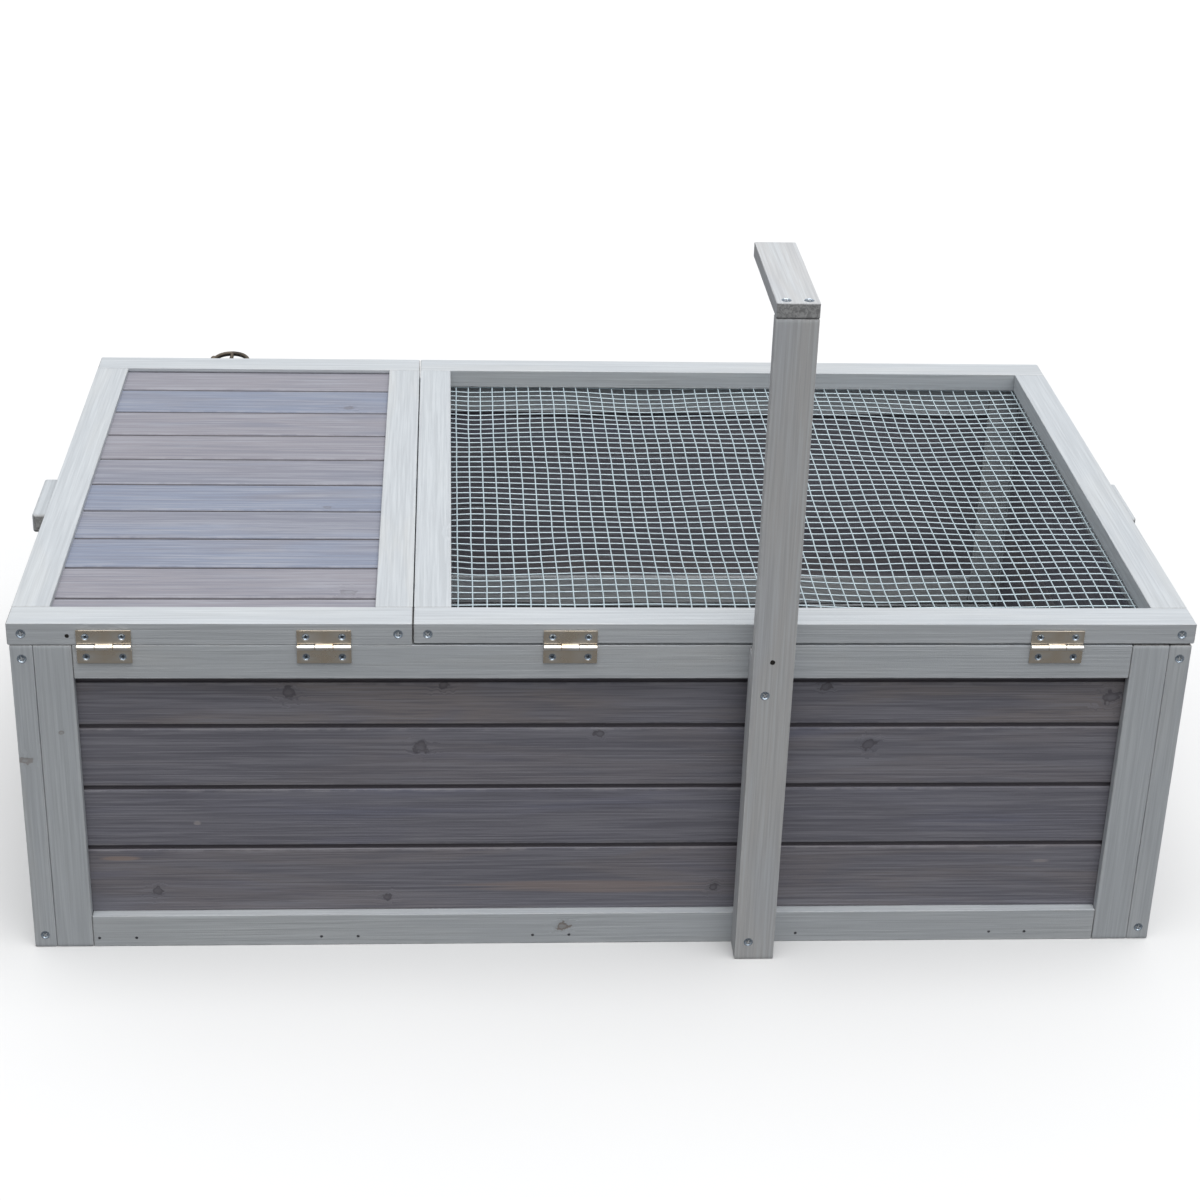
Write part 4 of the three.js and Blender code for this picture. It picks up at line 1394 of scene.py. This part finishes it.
def partition():
    """Boards across the hutch under the lids' seam. An arched doorway cuts the lower ones."""
    low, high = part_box("partition")
    lines = [low.z, *wall_joints(), high.z]
    crown = DOOR_SPRING + DOOR_HALF
    for index, (bottom, top) in enumerate(zip(lines, lines[1:])):
        bottom += PARTITION_GAP if index else 0.0
        levels = spaced(bottom, min(top, crown), DOOR_PITCH)
        near_side = [Vector((-door_edge(level), level)) for level in levels]
        far_side = [Vector((-point.x, point.y)) for point in reversed(near_side)]
        near_low, far_low, far_high, near_high = rectangle(Vector((low.y, bottom)), Vector((high.y, top)))
        name = f"partition_board_{index + 1}"
        if bottom >= crown:
            boards = {name: [near_low, far_low, far_high, near_high]}
        elif top <= crown:
            boards = {
                f"{name}_near": [near_low, *near_side, near_high],
                f"{name}_far": [*far_side, far_low, far_high],
            }
        else:
            boards = {name: [near_low, *near_side, *far_side[1:], far_low, far_high, near_high]}
        for part, (label, outline) in enumerate(boards.items()):
            nodes = ["partition"] if index == part == 0 else []
            depth = (low.x, high.x)
            cut_board(label, outline, depth, (1, 2, 0), WALL_WOOD, "box", PARTITION_EASE, *nodes)


def floor_frame():
    timber("tray_sill", 0, FRAME_WOOD)
    for index in BEARERS:
        timber(f"bearer_{index}", 1, FRAME_WOOD)


def tray_front():
    low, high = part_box("tray_front")
    middle = (low.x + high.x) / 2
    near_low, far_low, far_high, near_high = rectangle(Vector((low.x, low.z)), Vector((high.x, high.z)))
    scoop = []
    for step in range(GRIP_STEPS + 1):
        part = step / GRIP_STEPS
        drop = GRIP_DROP * 4 * part * (1 - part)
        scoop.append(Vector((middle + GRIP_HALF * (1 - 2 * part), high.z - drop)))
    outline = [near_low, far_low, far_high, *scoop, near_high]
    depth = (low.y, high.y)
    cut_board("tray_front_rail", outline, depth, (0, 2, 1), FRAME_WOOD, "tray", EASE, "tray_front")


def pan_ring(shape, low, high, inward, level, wear_and_painted_light):
    """A rounded rectangle round the tray, inward from its outer edge."""
    radius = max(PAN_CORNER_LEAST, PAN_CORNER - inward)
    inner = Vector((inward + radius, inward + radius, 0))
    near_left, near_right, far_right, far_left = rectangle(low + inner, high - inner)
    ring = []
    for quarter, centre in enumerate((near_right, far_right, far_left, near_left)):
        for step in range(PAN_CORNER_STEPS + 1):
            turn = math.pi / 2 * (quarter - 1 + step / PAN_CORNER_STEPS)
            x, y = centre.x + radius * math.cos(turn), centre.y + radius * math.sin(turn)
            ring.append(shape.worn((x, y, level), wear_and_painted_light))
    return ring


def tray_pan():
    low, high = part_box("tray_pan")
    shape = Shape()
    rings = []
    for level, rows in ((low.z, PAN_UNDER), (high.z, PAN_LIP), (low.z, PAN_INSIDE)):
        for inward, rise, wear_and_painted_light in rows:
            rings.append(pan_ring(shape, low, high, inward * MM, level + rise * MM, wear_and_painted_light))
    shape.skin(rings)
    make_piece("tray_pan_shell", shape, TRAY_PLASTIC, "tray", "tray_pan")
    floor_top = low.z + PAN_FLOOR
    ends = [(low.x + step, grow) for step, grow in RIB_END]
    ends += [(high.x - step, grow) for step, grow in reversed(RIB_END)]
    for index, y in enumerate(spaced(low.y + RIB_FIRST, high.y - RIB_FIRST, RIB_PITCH)):
        rib = Shape()
        rings = []
        for x, grow in ends:
            ring = []
            for across, rise in RIB_SECTION:
                spot = (x, y + across * grow * MM, floor_top + rise * grow * MM)
                ring.append(rib.worn(spot, 0.6 if rise > RIB_CROWN else 0.1))
            rings.append(ring)
        rib.skin(rings)
        make_piece(f"tray_pan_rib_{index + 1}", rib, TRAY_PLASTIC, "tray")


walls()
solid_lid()
mesh_lid()
hinges()
fixings()
lamp_post()
lid_pilot_hole()
handles()
lid_pull()
partition()
floor_frame()
tray_front()
tray_pan()


# --- Stage, light and camera ---

STAGE_SIZE = 60
# The surroundings' glow: how high on the sky, from 0 below to 1 overhead, and how bright
SKY = ((0.44, 0.17), (0.54, 0.25), (1.0, 1.05))
SKY_COLOR = (0.98, 0.99, 1.0)
BACKDROP = (1.0, 1.0, 1.0, 1.0)
# Lamps: strength, spread, azimuth and elevation, in degrees
LAMPS = {"key": (1.58, 50, 35, 82), "fill": (0.32, 50, 15, 38)}
# The camera, fitted to the photograph
CAMERA_PLACE = (-0.131, -2.000, 1.1686)
CAMERA_DOWN = 26.26
CAMERA_YAW = 4.09
CAMERA_ROLL = 1.90
CAMERA_LENS = 72.3
CAMERA_SENSOR = 36


def stage():
    bpy.ops.mesh.primitive_plane_add(size=STAGE_SIZE, location=(0, 0, 0))
    floor = bpy.context.object
    floor.name = "studio_floor"
    floor.data.materials.append(floor_paint())
    floor.visible_diffuse = False
    floor.visible_glossy = False


def sun(name, strength, spread, azimuth, elevation):
    lamp = bpy.data.lights.new(name, "SUN")
    lamp.energy = strength
    lamp.angle = math.radians(spread)
    turn, lift = math.radians(azimuth), math.radians(elevation)
    toward = Vector((math.sin(turn) * math.cos(lift), -math.cos(turn) * math.cos(lift), math.sin(lift)))
    put_in_scene(name, lamp).rotation_euler = toward.to_track_quat("Z", "Y").to_euler()


def surroundings():
    """Soft studio light from all round, strongest overhead. The camera sees a plain pale backdrop."""
    world = bpy.data.worlds.new("studio")
    graph = Graph(world)
    up = graph.parts(graph.node("ShaderNodeTexCoord", out="Generated"))[2]
    height = graph.node("ShaderNodeMapRange", {"Value": up, "From Min": -1.0})
    glow = graph.node("ShaderNodeValToRGB", {"Fac": height})
    ramp = glow.node.color_ramp
    ramp.interpolation = "EASE"
    ramp.elements[0].position = SKY[0][0]
    ramp.elements.new(SKY[1][0])
    for stop, (_, level) in zip(ramp.elements, SKY):
        stop.color = (*(level * part for part in SKY_COLOR), 1.0)
    seen = graph.node("ShaderNodeBackground", {"Color": BACKDROP})
    light = graph.node("ShaderNodeBackground", {"Color": glow})
    from_camera = graph.node("ShaderNodeLightPath", out="Is Camera Ray")
    mixed = graph.node("ShaderNodeMixShader", {0: from_camera, 1: light, 2: seen})
    graph.node("ShaderNodeOutputWorld", {0: mixed})
    bpy.context.scene.world = world


def camera():
    data = bpy.data.cameras.new("camera")
    data.sensor_width = CAMERA_SENSOR
    data.lens = CAMERA_LENS
    holder = put_in_scene("camera", data)
    yaw, down, roll = (math.radians(angle) for angle in (CAMERA_YAW, CAMERA_DOWN, CAMERA_ROLL))
    forward = Vector((math.sin(yaw) * math.cos(down), math.cos(yaw) * math.cos(down), -math.sin(down)))
    level = Vector((math.cos(yaw), -math.sin(yaw), 0.0))
    right = level * math.cos(roll) + level.cross(forward) * math.sin(roll)
    turn = Matrix((right, right.cross(forward), -forward)).transposed()
    holder.matrix_world = Matrix.Translation(CAMERA_PLACE) @ turn.to_4x4()
    bpy.context.scene.camera = holder


stage()
surroundings()
for lamp_name, lamp_settings in LAMPS.items():
    sun(lamp_name, *lamp_settings)
camera()
bpy.context.scene.view_settings.view_transform = "Standard"
